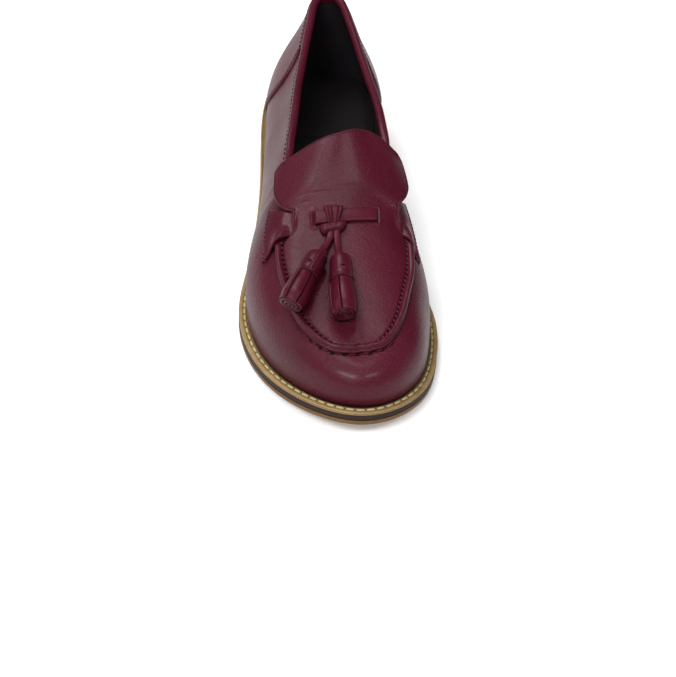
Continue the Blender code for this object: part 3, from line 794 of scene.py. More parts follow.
def way_in(points, edges):
    """Shortest way along a grid's own lines from each point to the named edges of the grid."""
    along, across = run_along(points), run_along(points, 1)
    ways = {"first": along, "last": along[-1:] - along, "left": across, "right": across[:, -1:] - across}
    return np.minimum.reduce([np.broadcast_to(ways[name], along.shape) for name in edges])


def fine_ends(count, fine, first, last):
    """Values from 0 to 1, with fine of them packed into the first and last shares."""
    start = np.linspace(0, first, fine if first else 1)
    end = np.linspace(1 - last, 1, fine if last else 1)
    return np.unique(np.concatenate([start, np.linspace(first, 1 - last, count), end]))


def skived(way, radius, thin):
    """Share of a hide's thickness at a way in from its edge: thin there, and full past a quarter round."""
    return thin + (1 - thin) * rounded(way, radius)


def groove_at(way, groove):
    """Groove, rim or fullness across a way, from 0 beside it to 1 in its middle."""
    return bell((way - groove[0]) / groove[1])


def sheet(base, normal, low, high, edges):
    """A sheet from low to high over a surface, as two faces and a strip along each open edge.

    It comes with how dark its face, its back and its rims are: the face clear, the back half dark and the cut
    rims fully dark.
    """
    top, under = lifted(base, normal, high), lifted(base, normal, low)
    ends = {
        "first": (top[0], under[0]),
        "last": (top[-1], under[-1]),
        "left": (top[:, 0], under[:, 0]),
        "right": (top[:, -1], under[:, -1]),
    }
    return [top, under] + [np.stack(ends[name]) for name in edges], [0.0, 0.5] + [1.0] * len(edges)


def pole_rows(loops):
    """Closed loops, each ended on its first point, with a row gathered to one point at either end."""
    loops = np.concatenate([loops, loops[:, :1]], axis=1)
    first = np.broadcast_to(loops[0, :-1].mean(0), loops[:1].shape)
    last = np.broadcast_to(loops[-1, :-1].mean(0), loops[:1].shape)
    return np.concatenate([first, loops, last])


def path_frame(path):
    """Directions along, out to the side of and up from a path."""
    ahead = unit(np.gradient(path, axis=0))
    out = unit(np.cross(ahead, [0, 0, 1]))
    return ahead, out, np.cross(out, ahead)


def add_piece(name, grids, material, nodes=(), painted_shade_and_dark_edges=None):
    """Object from grids of points: doubles merged, faces turned outwards, and how dark each point is kept:
    painted shade in hollows and darker cut edges.

    A grid with a fourth dimension holds many small grids of one shape, such as the stitches of a row.
    """
    points, faces, shade, start = [], [], [], 0
    for k, grid in enumerate(grids):
        many = grid.reshape(-1, *grid.shape[-3:])
        count, rows, across = many.shape[:3]
        step = np.arange(count)[:, None, None] * rows * across
        faces.append((grid_faces(rows, across)[None] + step).reshape(-1, 4) + start)
        points.append(many.reshape(-1, 3))
        shade.append(np.broadcast_to(0.0 if painted_shade_and_dark_edges is None else painted_shade_and_dark_edges[k], many.shape[:3]).ravel())
        start += count * rows * across
    mesh = bpy.data.meshes.new(name)
    mesh.from_pydata((np.concatenate(points) * MM).tolist(), [], np.concatenate(faces).tolist())
    # Each point's painted shade, with the darker cut edges, kept as an attribute for the materials
    darkness = mesh.attributes.new("painted_shade_and_dark_edges", "FLOAT", "POINT")
    darkness.data.foreach_set("value", np.concatenate(shade).astype(np.float32))
    body = bmesh.new()
    body.from_mesh(mesh)
    bmesh.ops.remove_doubles(body, verts=body.verts, dist=MERGE * MM)
    bmesh.ops.recalc_face_normals(body, faces=body.faces)
    body.to_mesh(mesh)
    body.free()
    mesh.shade_smooth()
    mesh.set_sharp_from_angle(angle=np.radians(SHARP_ANGLE))
    mesh.materials.append(material)
    piece = bpy.data.objects.new(name, mesh)
    bpy.context.scene.collection.objects.link(piece)
    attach(piece, "root")
    if nodes:
        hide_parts(*nodes)
    return piece


def stitch_row(path, normal, kind, rows=5, around=6):
    """Stitches along a path: each a bead whose section is an ellipse that closes to a point at both ends.

    Across it the section is width wide and height tall, times the root of 1 - t^4 along its length, and each
    is turned by its slant from the path's own direction.
    """
    pitch, length, width, height, sink, slant = STITCHES[kind]
    turn = np.radians(slant)
    run = run_along(path)
    count = int(run[-1] // pitch)
    middle = (np.arange(count) + 0.5) * run[-1] / count
    t = np.sin(np.linspace(-np.pi / 2, np.pi / 2, rows))
    at = middle[:, None] + t * np.cos(turn) * length / 2
    centre = read_at(at, run, path)
    up = unit(read_at(at, run, normal))
    ahead = unit(np.gradient(centre, axis=1))
    side = unit(np.cross(up, ahead))
    centre = centre + side * (t * np.sin(turn) * length / 2)[None, :, None]
    side = side * np.cos(turn) - ahead * np.sin(turn)
    angle = np.linspace(0, 2 * np.pi, around + 1)
    reach = np.sqrt(np.clip(1 - t**4, 0, None))
    wide = side[:, :, None] * (np.outer(reach, np.cos(angle)) * width / 2)[None, ..., None]
    tall = up[:, :, None] * (np.outer(reach, np.sin(angle)) * height / 2)[None, ..., None]
    lift = up[:, :, None] * (reach * height / 2 - sink)[None, :, None, None]
    return centre[:, :, None] + wide + tall + lift


def ring_wall(u, v, offset):
    """The wall at (u, v), moved out by each side's offset: lateral from heel to toe, then medial back again.

    The two sides share one normal along the crest and at the heel and toe.
    """
    across, up = np.meshgrid(u, v)
    points = {side: wall(side, across, up) for side in SIDES}
    normals = {side: wall_normal(side, across, up) for side in SIDES}
    shared = unit(normals[LATERAL] + normals[MEDIAL])
    joined = ((across >= THROAT_U) & (up >= 1)) | (across <= 0) | (across >= 1)
    for side in SIDES:
        normals[side] = np.where(joined[..., None], shared, normals[side])
    lateral, medial = (lifted(points[side], normals[side], offset[side]) for side in SIDES)
    return np.concatenate([lateral, medial[:, ::-1]], axis=1)


# Shader parts


def new_group(name, scale):
    """Empty node group for a finish, with its input and output nodes.

    It takes a deep and a lit colour, the scale of its pattern and its gloss, and gives colour, roughness and
    height.
    """
    group = bpy.data.node_groups.new(name, "ShaderNodeTree")
    colour, value = "NodeSocketColor", "NodeSocketFloat"
    for socket, kind in (("Deep", colour), ("Lit", colour), (scale, value), ("Gloss", value)):
        group.interface.new_socket(socket, in_out="INPUT", socket_type=kind)
    for socket, kind in (("Color", colour), ("Roughness", value), ("Height", value)):
        group.interface.new_socket(socket, in_out="OUTPUT", socket_type=kind)
    return group, group.nodes.new("NodeGroupInput"), group.nodes.new("NodeGroupOutput")


def add_node(tree, kind, settings=None, **values):
    """Node of a kind with its settings, and its inputs set or linked.

    An input goes by its name with spaces as underscores, or by i and its number.
    """
    made = tree.nodes.new(kind)
    for key, value in (settings or {}).items():
        setattr(made, key, value)
    for key, value in values.items():
        numbered = key[0] == "i" and key[1:].isdigit()
        socket = made.inputs[int(key[1:]) if numbered else key.replace("_", " ")]
        if isinstance(value, bpy.types.NodeSocket):
            tree.links.new(value, socket)
        else:
            socket.default_value = value
    return made


def blend_colours(tree, share, first, second, mode="MIX"):
    """Colour between two, by share."""
    settings = {"data_type": "RGBA", "blend_type": mode}
    return add_node(tree, "ShaderNodeMix", settings, i0=share, i6=first, i7=second).outputs[2]


def sums(tree, operation, first, second):
    """One sum of two values."""
    return add_node(tree, "ShaderNodeMath", {"operation": operation}, i0=first, i1=second).outputs[0]


def vector_sums(tree, operation, *values):
    """One sum of two or three vectors."""
    given = {"i" + str(k): value for k, value in enumerate(values)}
    return add_node(tree, "ShaderNodeVectorMath", {"operation": operation}, **given).outputs[0]


def span(tree, value, low, high, to_low=0.0, to_high=1.0):
    """A value's range from low to high turned into another range."""
    ends = {"From_Min": low, "From_Max": high, "To_Min": to_low, "To_Max": to_high}
    return add_node(tree, "ShaderNodeMapRange", None, Value=value, **ends).outputs[0]


def noise(tree, where, scale, detail=3.0, rough=0.5):
    """Noise over a surface."""
    values = {"Vector": where, "Scale": scale, "Detail": detail, "Roughness": rough}
    return add_node(tree, "ShaderNodeTexNoise", None, **values).outputs[0]


def darkened(group, share, colour, deep, tint):
    """Colour that falls to a tint of the deep one, by share, where shade is painted or a cut edge is darker;
    and that darkness.
    """
    painted_shade_and_dark_edges = add_node(group, "ShaderNodeAttribute", {"attribute_name": "painted_shade_and_dark_edges"}).outputs["Fac"]
    dark = blend_colours(group, 1.0, deep, tint, "MULTIPLY")
    return blend_colours(group, sums(group, "MULTIPLY", painted_shade_and_dark_edges, share), colour, dark), painted_shade_and_dark_edges


def hide_group():
    """Finished hide: pores, fine grain and creases as height, a cloudy dye, painted shade in hollows and
    darker cut edges, uneven gloss.
    """
    group, given, made = new_group("finished hide", "Pore scale")
    deep, lit, pore_scale, gloss = given.outputs[:4]
    where = group.nodes.new("ShaderNodeTexCoord").outputs["Object"]
    warp = add_node(group, "ShaderNodeTexNoise", None, Vector=where, Scale=180.0, Detail=2.0).outputs[1]
    bent = vector_sums(group, "MULTIPLY_ADD", warp, (0.0016,) * 3, where)
    pores = add_node(group, "ShaderNodeTexVoronoi", {"feature": "SMOOTH_F1"}, Vector=bent, Scale=pore_scale)
    cells = span(group, pores.outputs["Distance"], 0.05, 0.75)
    fine = noise(group, where, 2600.0, 2.0)
    cloud = noise(group, where, 32.0, 4.0, 0.55)
    broad = noise(group, where, 9.0, 2.0)
    dye = span(group, sums(group, "ADD", cloud, broad), 0.72, 1.28)
    colour = blend_colours(group, dye, deep, lit)
    colour = blend_colours(group, sums(group, "MULTIPLY", cells, 0.16), colour, deep)
    colour, painted_shade_and_dark_edges = darkened(group, 0.8, colour, deep, (0.42, 0.36, 0.38, 1))
    group.links.new(colour, made.inputs["Color"])
    dull = sums(group, "ADD", span(group, cloud, 0.3, 0.7, -0.05, 0.05), sums(group, "MULTIPLY", cells, 0.05))
    dull = sums(group, "ADD", dull, sums(group, "MULTIPLY", painted_shade_and_dark_edges, 0.2))
    group.links.new(sums(group, "ADD", gloss, dull), made.inputs["Roughness"])
    drawn = vector_sums(group, "MULTIPLY", bent, (0.5, 1.0, 1.0))
    folded = sums(group, "SUBTRACT", noise(group, drawn, 430.0, 3.0, 0.55), 0.5)
    wrinkle = span(group, sums(group, "ABSOLUTE", folded, 0.0), 0.0, 0.10)
    crease = sums(group, "MULTIPLY", wrinkle, span(group, cloud, 0.35, 0.65, 0.2, 0.9))
    height = sums(group, "ADD", sums(group, "MULTIPLY", cells, -0.7), sums(group, "MULTIPLY", fine, 0.3))
    group.links.new(sums(group, "ADD", height, crease), made.inputs["Height"])
    return group


def fibre_group():
    """Cut or trodden sole stock: streaks along the layers, specks, and a worn tone, over two colours; with
    shade painted where the mesh asks for it.
    """
    group, given, made = new_group("sole stock", "Layer scale")
    deep, lit, layer_scale, gloss = given.outputs[:4]
    where = group.nodes.new("ShaderNodeTexCoord").outputs["Object"]
    spread = add_node(group, "ShaderNodeCombineXYZ", None, X=1.0, Y=1.0, Z=layer_scale).outputs[0]
    streak = noise(group, vector_sums(group, "MULTIPLY", where, spread), 260.0, 4.0, 0.6)
    cloud = noise(group, where, 40.0, 3.0)
    speck = noise(group, where, 1500.0, 2.0)
    tone = span(group, sums(group, "ADD", streak, cloud), 0.66, 1.34)
    colour = blend_colours(group, tone, deep, lit)
    colour = blend_colours(group, span(group, speck, 0.56, 0.75, 0.0, 0.5), colour, deep)
    # Painted shade from the mesh's attribute, towards a tint of the deep colour
    colour, _ = darkened(group, 1.0, colour, deep, (0.34, 0.30, 0.26, 1))
    group.links.new(colour, made.inputs["Color"])
    dull = span(group, streak, 0.3, 0.7, -0.08, 0.08)
    group.links.new(sums(group, "ADD", gloss, dull), made.inputs["Roughness"])
    group.links.new(sums(group, "ADD", streak, sums(group, "MULTIPLY", speck, 0.5)), made.inputs["Height"])
    return group


def new_material(name, group, bump, depth, specular, coat=0.0, coat_rough=0.3, **values):
    """Material whose colour, roughness and bump come from a group with its own values; shade is painted into
    corners.
    """
    material = bpy.data.materials.new(name)
    material.use_nodes = True
    tree = material.node_tree
    shader = tree.nodes["Principled BSDF"]
    values = {key: (*value, 1) if isinstance(value, tuple) else value for key, value in values.items()}
    finish = add_node(tree, "ShaderNodeGroup", {"node_tree": group}, **values)
    # Painted shade: an occlusion node darkens the base colour where other surfaces come near, in corners and
    # creases
    corner_occlusion = add_node(tree, "ShaderNodeAmbientOcclusion", {"samples": 8}, Distance=CORNER_SHADE_REACH * MM)
    shade = span(tree, corner_occlusion.outputs["AO"], 0.25, 0.85, 0.25, 1.0)
    colour = blend_colours(tree, 1.0, finish.outputs["Color"], shade, "MULTIPLY")
    tree.links.new(colour, shader.inputs["Base Color"])
    tree.links.new(finish.outputs["Roughness"], shader.inputs["Roughness"])
    relief = add_node(tree, "ShaderNodeBump", None, Strength=bump, Distance=depth * MM)
    tree.links.new(finish.outputs["Height"], relief.inputs["Height"])
    tree.links.new(relief.outputs[0], shader.inputs["Normal"])
    shader.inputs["Specular IOR Level"].default_value = specular
    shader.inputs["Coat Weight"].default_value = coat
    shader.inputs["Coat Roughness"].default_value = coat_rough
    return material


HIDE_FINISH = hide_group()
SOLE_STOCK = fibre_group()
CALF = new_material(
    "burgundy calf", HIDE_FINISH, 1.0, 0.17, 0.15, coat=0.11, coat_rough=0.20,
    Deep=BURGUNDY_DEEP, Lit=BURGUNDY_LIT, Pore_scale=1500.0, Gloss=0.42,
)
LACE_CALF = new_material(
    "burgundy lace calf", HIDE_FINISH, 0.60, 0.11, 0.13, coat=0.08, coat_rough=0.24,
    Deep=BURGUNDY_DEEP, Lit=BURGUNDY_LIT, Pore_scale=1900.0, Gloss=0.38,
)
PURPLE_THREAD = new_material(
    "purple thread", HIDE_FINISH, 0.40, 0.08, 0.20,
    Deep=PURPLE_DEEP, Lit=PURPLE_LIT, Pore_scale=3200.0, Gloss=0.62,
)
# Dark thread, also used for the beads that paint the shade in the front seam's stitch holes
DARK_THREAD_AND_HOLE_SHADE = new_material(
    "dark thread and hole shade", HIDE_FINISH, 0.40, 0.08, 0.05,
    Deep=(0.0060, 0.0012, 0.0026), Lit=(0.0150, 0.0024, 0.0054), Pore_scale=3200.0, Gloss=0.66,
)
BLACK_LINING = new_material(
    "black lining", HIDE_FINISH, 0.35, 0.08, 0.12,
    Deep=(0.0090, 0.0070, 0.0085), Lit=(0.0160, 0.0130, 0.0155), Pore_scale=1700.0, Gloss=0.58,
)
WELT_TAN = new_material(
    "tan welt", SOLE_STOCK, 0.30, 0.10, 0.25,
    Deep=(0.230, 0.145, 0.057), Lit=(0.365, 0.245, 0.110), Layer_scale=5.0, Gloss=0.52,
)
YELLOW_THREAD = new_material(
    "yellow thread", SOLE_STOCK, 0.45, 0.10, 0.25,
    Deep=(0.410, 0.318, 0.138), Lit=(0.570, 0.480, 0.245), Layer_scale=1.0, Gloss=0.60,
)
MIDSOLE_DARK = new_material(
    "dark midsole", SOLE_STOCK, 0.30, 0.10, 0.12,
    Deep=(0.019, 0.0105, 0.0080), Lit=(0.038, 0.0225, 0.0170), Layer_scale=5.0, Gloss=0.58,
)
OUTSOLE_TAN = new_material(
    "tan outsole", SOLE_STOCK, 0.35, 0.12, 0.14,
    Deep=(0.104, 0.052, 0.019), Lit=(0.178, 0.098, 0.040), Layer_scale=6.0, Gloss=0.50,
)
HEEL_STACK = new_material(
    "stacked heel", SOLE_STOCK, 0.40, 0.14, 0.25,
    Deep=(0.120, 0.056, 0.019), Lit=(0.240, 0.132, 0.054), Layer_scale=14.0, Gloss=0.46,
)


# Sole

EDGE_U = np.linspace(0, 1, 260)


def round_sole(inset, level):
    """Run all round the sole's edge, moved in by inset, at a height over the curved bottom."""
    runs = [edge(side, EDGE_U, inset)[0] for side in SIDES]
    loop = np.concatenate([runs[0], runs[1][::-1]])
    return place(loop[:, 0], loop[:, 1], sole_bottom(loop[:, 1]) + level)


def plan_halves(inset, last, count):
    """Both sides of the sole's edge, moved in by inset, at the same stations up to last."""
    u = np.linspace(0, 1, 1500)
    runs = [edge(side, u, inset)[0] for side in SIDES]
    start = max(run[0, 1] for run in runs)
    end = min(run[-1, 1] for run in runs)
    reach = np.pi if last >= end else np.pi / 2
    share = (1 - np.cos(np.linspace(0, reach, count))) / (1 - np.cos(reach))
    station = start + (min(last, end) - start) * share
    return station, [np.interp(station, run[:, 1], run[:, 0]) for run in runs]


def plate(levels, last=SOLE_LENGTH, count=150, across=2):
    """Solid of the sole's shape through levels, each an inset and a height: its side, underside and top."""
    loops, halves = [], []
    for inset, height in levels:
        station, (lateral, medial) = plan_halves(inset, last, count)
        z = height(station)
        halves.append((place(lateral, station, z), place(medial, station, z)))
        loops.append(np.concatenate([halves[-1][0], halves[-1][1][::-1], halves[-1][0][:1]]))
    share = np.linspace(0, 1, across)[:, None, None]
    caps = [lateral + (medial - lateral) * share for lateral, medial in (halves[0], halves[-1])]
    return [np.array(loops)] + caps


def over_bottom(level):
    """Heights over the outsole's underside."""
    return lambda station: sole_bottom(station) + level


def over_floor(level):
    """Heights over the floor."""
    return lambda station: np.full_like(station, level)


def build_sole():
    """Outsole, midsole and heel, each a solid of the sole's shape through the rows of its section."""
    outsole = [(inset, over_bottom(level)) for inset, level in OUTSOLE_SECTION]
    add_piece("outsole", plate(outsole), OUTSOLE_TAN, ["outsole"])
    midsole = [(inset, over_bottom(level)) for inset, level in MIDSOLE_SECTION]
    add_piece("midsole", plate(midsole), MIDSOLE_DARK, ["midsole"])
    block = [(inset, over_floor(level)) for inset, level in HEEL_SECTION]
    block.append((0.1, over_bottom(-0.05)))
    add_piece("heel", plate(block, HEEL_BREAST, 60), HEEL_STACK, ["heel"])


def build_welt():
    """Welt: a section with a rounded lip, a scored edge and a stitch channel, carried round the sole's edge.

    Each row of the section is an inset, a height and how much shade is painted on it: most in the scored line
    and where it runs in under the upper, a little in the channel and at its foot. The stitches lie in the
    channel.
    """
    shown = lookup(WELT_SHOWN, EDGE_U)
    sewn = shown - STITCH_INSET
    inner = shown + LEATHER + GAP
    score = WELT_THICK * 0.5
    channel = WELT_THICK - 0.3
    section = [
        (0.30, 0.0, 0.3),
        (0.08, 0.12, 0.0),
        (0.02, score - 0.22, 0.0),
        (0.26, score, 1.0),
        (0.02, score + 0.22, 0.0),
        (0.06, WELT_THICK - 0.3, 0.0),
        (0.35, WELT_THICK, 0.0),
        (sewn - 1.0, WELT_THICK, 0.0),
        (sewn - 0.7, channel, 0.2),
        (sewn + 0.7, channel, 0.2),
        (sewn + 1.0, WELT_THICK, 0.3),
        (shown + 0.3, WELT_THICK, 0.8),
        (inner, WELT_THICK, 0.8),
        (inner, 0.0, 0.8),
        (0.30, 0.0, 0.3),
    ]
    grid = np.array([round_sole(inset, WELT_LEVEL + level) for inset, level, _ in section])
    # How much shade is painted on each row of the section
    shade = np.array([dark for _, _, dark in section])[:, None]
    add_piece("welt", [grid], WELT_TAN, ["welt"], [shade])
    forepart = np.concatenate([EDGE_U, EDGE_U[::-1]]) >= STITCH_START
    path = round_sole(sewn, WELT_LEVEL + channel)[forepart]
    up = np.broadcast_to([0.0, 0.0, 1.0], path.shape)
    add_piece("welt_stitches", [stitch_row(path, up, "welt")], YELLOW_THREAD)


def build_insole():
    """Insole, a little dished, with the thin sock laid in its heel half and ended in a curve, and shade
    painted over it.
    """
    u = np.linspace(0, 1, 1500)
    within = lookup(WELT_SHOWN, u) + LEATHER + 2 * GAP
    levels = [(within, over_bottom(WELT_LEVEL)), (within, over_bottom(WELT_LEVEL + INSOLE_THICK - 1.0))]
    grids = plate(levels, across=60)
    share = np.linspace(-1, 1, 60)[:, None]
    station = SOLE_LENGTH / 2 - grids[2][..., 1]
    front = SOCK_FRONT + SOCK_CURVE * share**2
    sock = SOCK_THICK * ease((front - station) / 0.7)
    grids[2][..., 2] += sock + 0.9 * share**4
    # Painted shade over the whole top, deeper within 6 mm of the wall and along the sock's front edge; sides
    # and underside fully dark
    rim = ease((6.0 - way_in(grids[2], ALL_EDGES)) / 6.0)
    line = 0.8 * bell((station - front) / 0.8)
    shade = np.clip(0.6 + rim + line, 0, 1)
    add_piece("insole", grids, BLACK_LINING, ["insole"], [1.0, 1.0, shade])


# Upper

UPPER_U = np.linspace(0, 1, 210)
UPPER_V = np.linspace(-0.005, 1, 66)
LINING_GAP = 0.03


def vamp_relief(side, u, v):
    """Soft unevenness of the drawn leather, in millimetres, with a fullness low over the waist.

    The waves are long and shallow, with none where an overlay lies on them.
    """
    wave = WAVE_HEIGHT * np.sin(23 * u + 5.0 * v + side) * np.sin(7.0 * v + 11 * u)
    clear = ease((u - 0.24) / 0.06) * ease((0.62 - v) / 0.15)
    full = WAIST_FULLNESS[2] * groove_at(u, WAIST_FULLNESS) * ease(v / 0.12) * ease((0.8 - v) / 0.6)
    return wave * clear + full


def calm_toe(face):
    """Vamp drawn smooth over the middle of the toe: each row is averaged with its neighbours there."""
    middle = face.shape[1] // 2
    share = bell((np.arange(face.shape[1]) - middle) / TOE_REACH)[None, :, None]
    for _ in range(TOE_ROUNDS):
        nearby = (np.roll(face, 1, axis=1) + np.roll(face, -1, axis=1)) / 2
        face = face + 0.5 * (nearby - face) * share
    return face


def build_upper():
    """Upper's outer hide and the black lining behind it, each closed at its foot and along the top line."""
    across, up = np.meshgrid(UPPER_U, UPPER_V)
    outer = calm_toe(ring_wall(UPPER_U, UPPER_V, {side: vamp_relief(side, across, up) for side in SIDES}))
    depths = (HIDE, HIDE + LINING_GAP, LEATHER)
    under, back, inside = (ring_wall(UPPER_U, UPPER_V, dict.fromkeys(SIDES, -depth)) for depth in depths)
    collar = np.flatnonzero(UPPER_U <= THROAT_U + 0.5 / len(UPPER_U))
    before, after = collar[-1] + 1, 2 * len(UPPER_U) - collar[-1] - 1

    def closed(face, behind):
        """Two faces, and the strips that join them at the foot and along the top line on both sides."""
        rims = [np.stack([face[0], behind[0]])]
        rims.append(np.stack([face[-1, :before], behind[-1, :before]]))
        rims.append(np.stack([face[-1, after:], behind[-1, after:]]))
        return [face, behind] + rims

    # Hide a little darker towards the feather line; its back half dark and its rims fully dark
    low = np.broadcast_to(ease((0.035 - UPPER_V) / 0.035)[:, None] * 0.2, outer.shape[:2])
    add_piece("upper", closed(outer, under), CALF, ["upper"], [low, 0.5, 1.0, 1.0, 1.0])
    add_piece("lining", closed(back, inside), BLACK_LINING)


def instep_relief(points):
    """Folds of the tongue, creases and pleats of the instep, and the rims of the lace's slots, as heights."""
    x, station = points[..., 0], SOLE_LENGTH / 2 - points[..., 1]
    relief = np.zeros_like(x)
    back = 1 - ease((station - FOLDS_END[0]) / (FOLDS_END[1] - FOLDS_END[0]))
    for start_x, start, run, height, half in TONGUE_FOLDS:
        relief += height * back * bell((x - start_x - run * (station - start)) / half)
    for at, bow, middle, half, depth in INSTEP_CREASES:
        reach = (x - middle) / half
        relief -= depth * bell((station - at - bow * reach**2) / CREASE_HALF) * bell(reach)
    for turn, length, depth in NOTCH_PLEATS:
        way = np.radians(turn)
        ahead = (x - NOTCH[0]) * np.cos(way) - (station - NOTCH[1]) * np.sin(way)
        beside = (x - NOTCH[0]) * np.sin(way) + (station - NOTCH[1]) * np.cos(way)
        width = 0.25 + 0.05 * np.clip(ahead, 0, None)
        dying = ease((length - ahead) / length) * (ahead > -1)
        relief -= depth * bell(beside / width) * dying
    for (end, rear, front), way in zip(LACE_ENDS, SIDES):
        beside = np.abs(station - (rear + front) / 2) - (front - rear) / 2
        rim = np.hypot(np.clip((x - end) * way, 0, None), np.clip(beside, 0, None))
        at_end = ease(((x - end) * way + 2.5) / 2.5)
        relief += SLOT_RIM[2] * groove_at(rim, SLOT_RIM) * at_end
    return relief


def calm_front(base, normal):
    """Apron's front drawn smooth across its middle line, by a cubic surface fitted on both sides of it."""
    x = (base[..., 0] - FRONT_MIDDLE[0]) / FRONT_REACH
    y = (base[..., 1] - FRONT_MIDDLE[1]) / FRONT_REACH
    terms = np.stack([x**a * y**b for a in range(4) for b in range(4 - a)], axis=-1)
    beside = (np.abs(x) < 0.8) & (np.abs(x) > 0.15) & (np.abs(y) < 0.85)
    shape = np.linalg.lstsq(terms[beside], base[beside, 2], rcond=None)[0]
    share = bell(x / 0.28) * ease((0.45 - y) / 0.6)
    base[..., 2] += (terms @ shape - base[..., 2]) * share
    normal[..., 0] *= 1 - share
    return base, unit(normal)


def build_apron():
    """Apron and tongue in one sheet with a quarter-round edge that lifts over the straps' ends.

    The tongue has soft folds and a groove along its edge.
    """
    share = fine_ends(150, 22, 0.06, 0.0)
    down = fine_ends(72, 20, 0.0, 0.075)
    along, out = np.meshgrid(share, down, indexing="ij")
    halves, normals = {}, {}
    for side in SIDES:
        u, v, flare = apron_spot(along, side, out)
        normals[side] = wall_normal(side, u, v, True)
        halves[side] = lifted(wall(side, u, v, True), normals[side], flare)
    shared = unit(normals[LATERAL] + normals[MEDIAL])
    for side in SIDES:
        normals[side][:, 0] = shared[:, 0]
        normals[side][-1] = shared[-1]
    base = np.concatenate([halves[LATERAL][:, :0:-1], halves[MEDIAL]], axis=1)
    normal = np.concatenate([normals[LATERAL][:, :0:-1], normals[MEDIAL]], axis=1)
    base, normal = calm_front(base, normal)
    way = way_in(base, ("first", "left", "right"))
    way[-1] = np.minimum(way[-1], way[-1, ::-1])
    along = np.concatenate([along[:, :0:-1], along], axis=1)
    groove = groove_at(way, APRON_GROOVE) * (1 - ease((along - TONGUE_END) / 0.06))
    seam = ease((along - STRAP_SHARE - 0.07) / 0.04)
    rise = APRON_THICK * skived(way, 0.9 + 0.8 * seam, 0.3 - 0.2 * seam) - APRON_GROOVE[2] * groove
    rise = rise + instep_relief(base) * ease(way / 2.5)
    rise[-1] = (rise[-1] + rise[-1, ::-1]) / 2
    low = GAP + 1.0 * bell((along - STRAP_SHARE) / 0.04) * ease((4.0 - way) / 4.0)
    grids, painted_shade_and_dark_edges = sheet(base, normal, low, low + rise, ("first", "left", "right"))
    # Painted shade in the tongue's sewn groove and along the edge where it runs in beside the roll
    painted_shade_and_dark_edges[0] = np.clip(0.8 * groove + 0.8 * ease((0.8 - way) / 0.8) * seam, 0, 1)
    add_piece("apron", grids, CALF, ["apron"], painted_shade_and_dark_edges)


ROLL_SHARE = np.interp(ROLL_START, columns(APRON)[0], APRON_SHARE)
ROLL_BACK = ROLL_SHARE - ROLL_RUN_ON


def seam_path(side, share, offset, lift):
    """Line along the apron's edge, moved down the wall by offset and off it by lift, and the wall's normals.

    Behind the roll's start the line runs straight on, under the strap.
    """
    ahead = np.maximum(share, ROLL_SHARE)
    u, v, _ = apron_spot(ahead, side, np.ones_like(share))
    u = u - RUN_ON_SLOPE * (ahead - share)
    climb = np.linalg.norm(wall(side, u, v + 1e-3) - wall(side, u, v - 1e-3), axis=-1) / 2e-3
    v = v - offset / climb
    normal = wall_normal(side, u, v)
    return lifted(wall(side, u, v), normal, lift), normal


def round_toe(starts, count, offset, lift):
    """A seam line from its start on one side round the toe to its start on the other, with its normals."""
    runs = [seam_path(side, np.linspace(start, 1, count), offset, lift) for side, start in zip(SIDES, starts)]
    (lateral, up_lateral), (medial, up_medial) = runs
    return np.concatenate([lateral, medial[-2::-1]]), np.concatenate([up_lateral, up_medial[-2::-1]])


def build_roll():
    """Roll along the apron's edge: a section carried along the seam and sewn to it.

    The section is a cord along the sides, and has a ridge and an outer lip round the front, where it is
    pinched a little at every stitch. Towards its ends it sinks under the straps.
    """
    path, normal = round_toe((ROLL_BACK, ROLL_BACK), 230, ROLL_OFFSET, 0.02)
    ahead = unit(np.gradient(path, axis=0))
    inward = unit(np.cross(normal, ahead))
    run = run_along(path)
    front = bell((run / run[-1] - 0.5) / 0.2)
    sink = 0.35 + 0.65 * ease(np.minimum(run, run[-1] - run) / 6.0)
    tall = sink * (1 - 0.025 * np.cos(2 * np.pi * run / SEAM_PITCH) * front)
    lipped = np.array(ROLL_SECTION)
    cord = lipped.copy()
    top = np.argmax(lipped[:, 1])
    cord[top : top + len(ROLL_ROUNDING)] += ROLL_ROUNDING
    lip = ease((front - 0.25) / 0.5)[:, None, None]
    section = closed_curve(cord, 48) * (1 - lip) + closed_curve(lipped, 48) * lip
    out, height = section[..., 0], section[..., 1]
    loops = path[:, None] - inward[:, None] * out[..., None]
    loops = loops + normal[:, None] * (tall[:, None] * height)[..., None]
    # Painted shade low on the inner flank in the valley, and at the outer lip's foot
    valley = ease((1.9 - height) / 1.3)
    lip_foot = 0.45 * bell((out - 1.15) / 0.3) + (out > 1.3) * ease((1.6 - height) / 0.5)
    flank = np.where(out < 0, valley, lip_foot)
    shade = np.pad(np.clip(flank, 0, 1), ((1, 1), (0, 1)), mode="edge")
    add_piece("apron_roll", [pole_rows(loops)], CALF, ["apron_roll"], [shade])
    rows = []
    for side in SIDES:
        inner, up = seam_path(side, np.linspace(ROLL_BACK, SEAM_END, 150), VALLEY_OFFSET, VALLEY_LIFT)
        rows.append(stitch_row(inner, up, "seam"))
    add_piece("seam_stitches", rows, PURPLE_THREAD)
    outer, up = round_toe(FRONT_STITCHES, 160, ROLL_OFFSET + FRONT_OFFSET, 0.0)
    bars = stitch_row(outer, up, "front")
    add_piece("front_stitches", [bars], LACE_CALF)
    # Dark beads set between the stitch bars paint the shade inside the stitch holes
    reach = np.linspace(0, 1, len(outer))
    shifted = read_at(reach + 0.5 / len(bars), reach, outer)
    add_piece("seam_hole_shade", [stitch_row(shifted, up, "holes")], DARK_THREAD_AND_HOLE_SHADE)


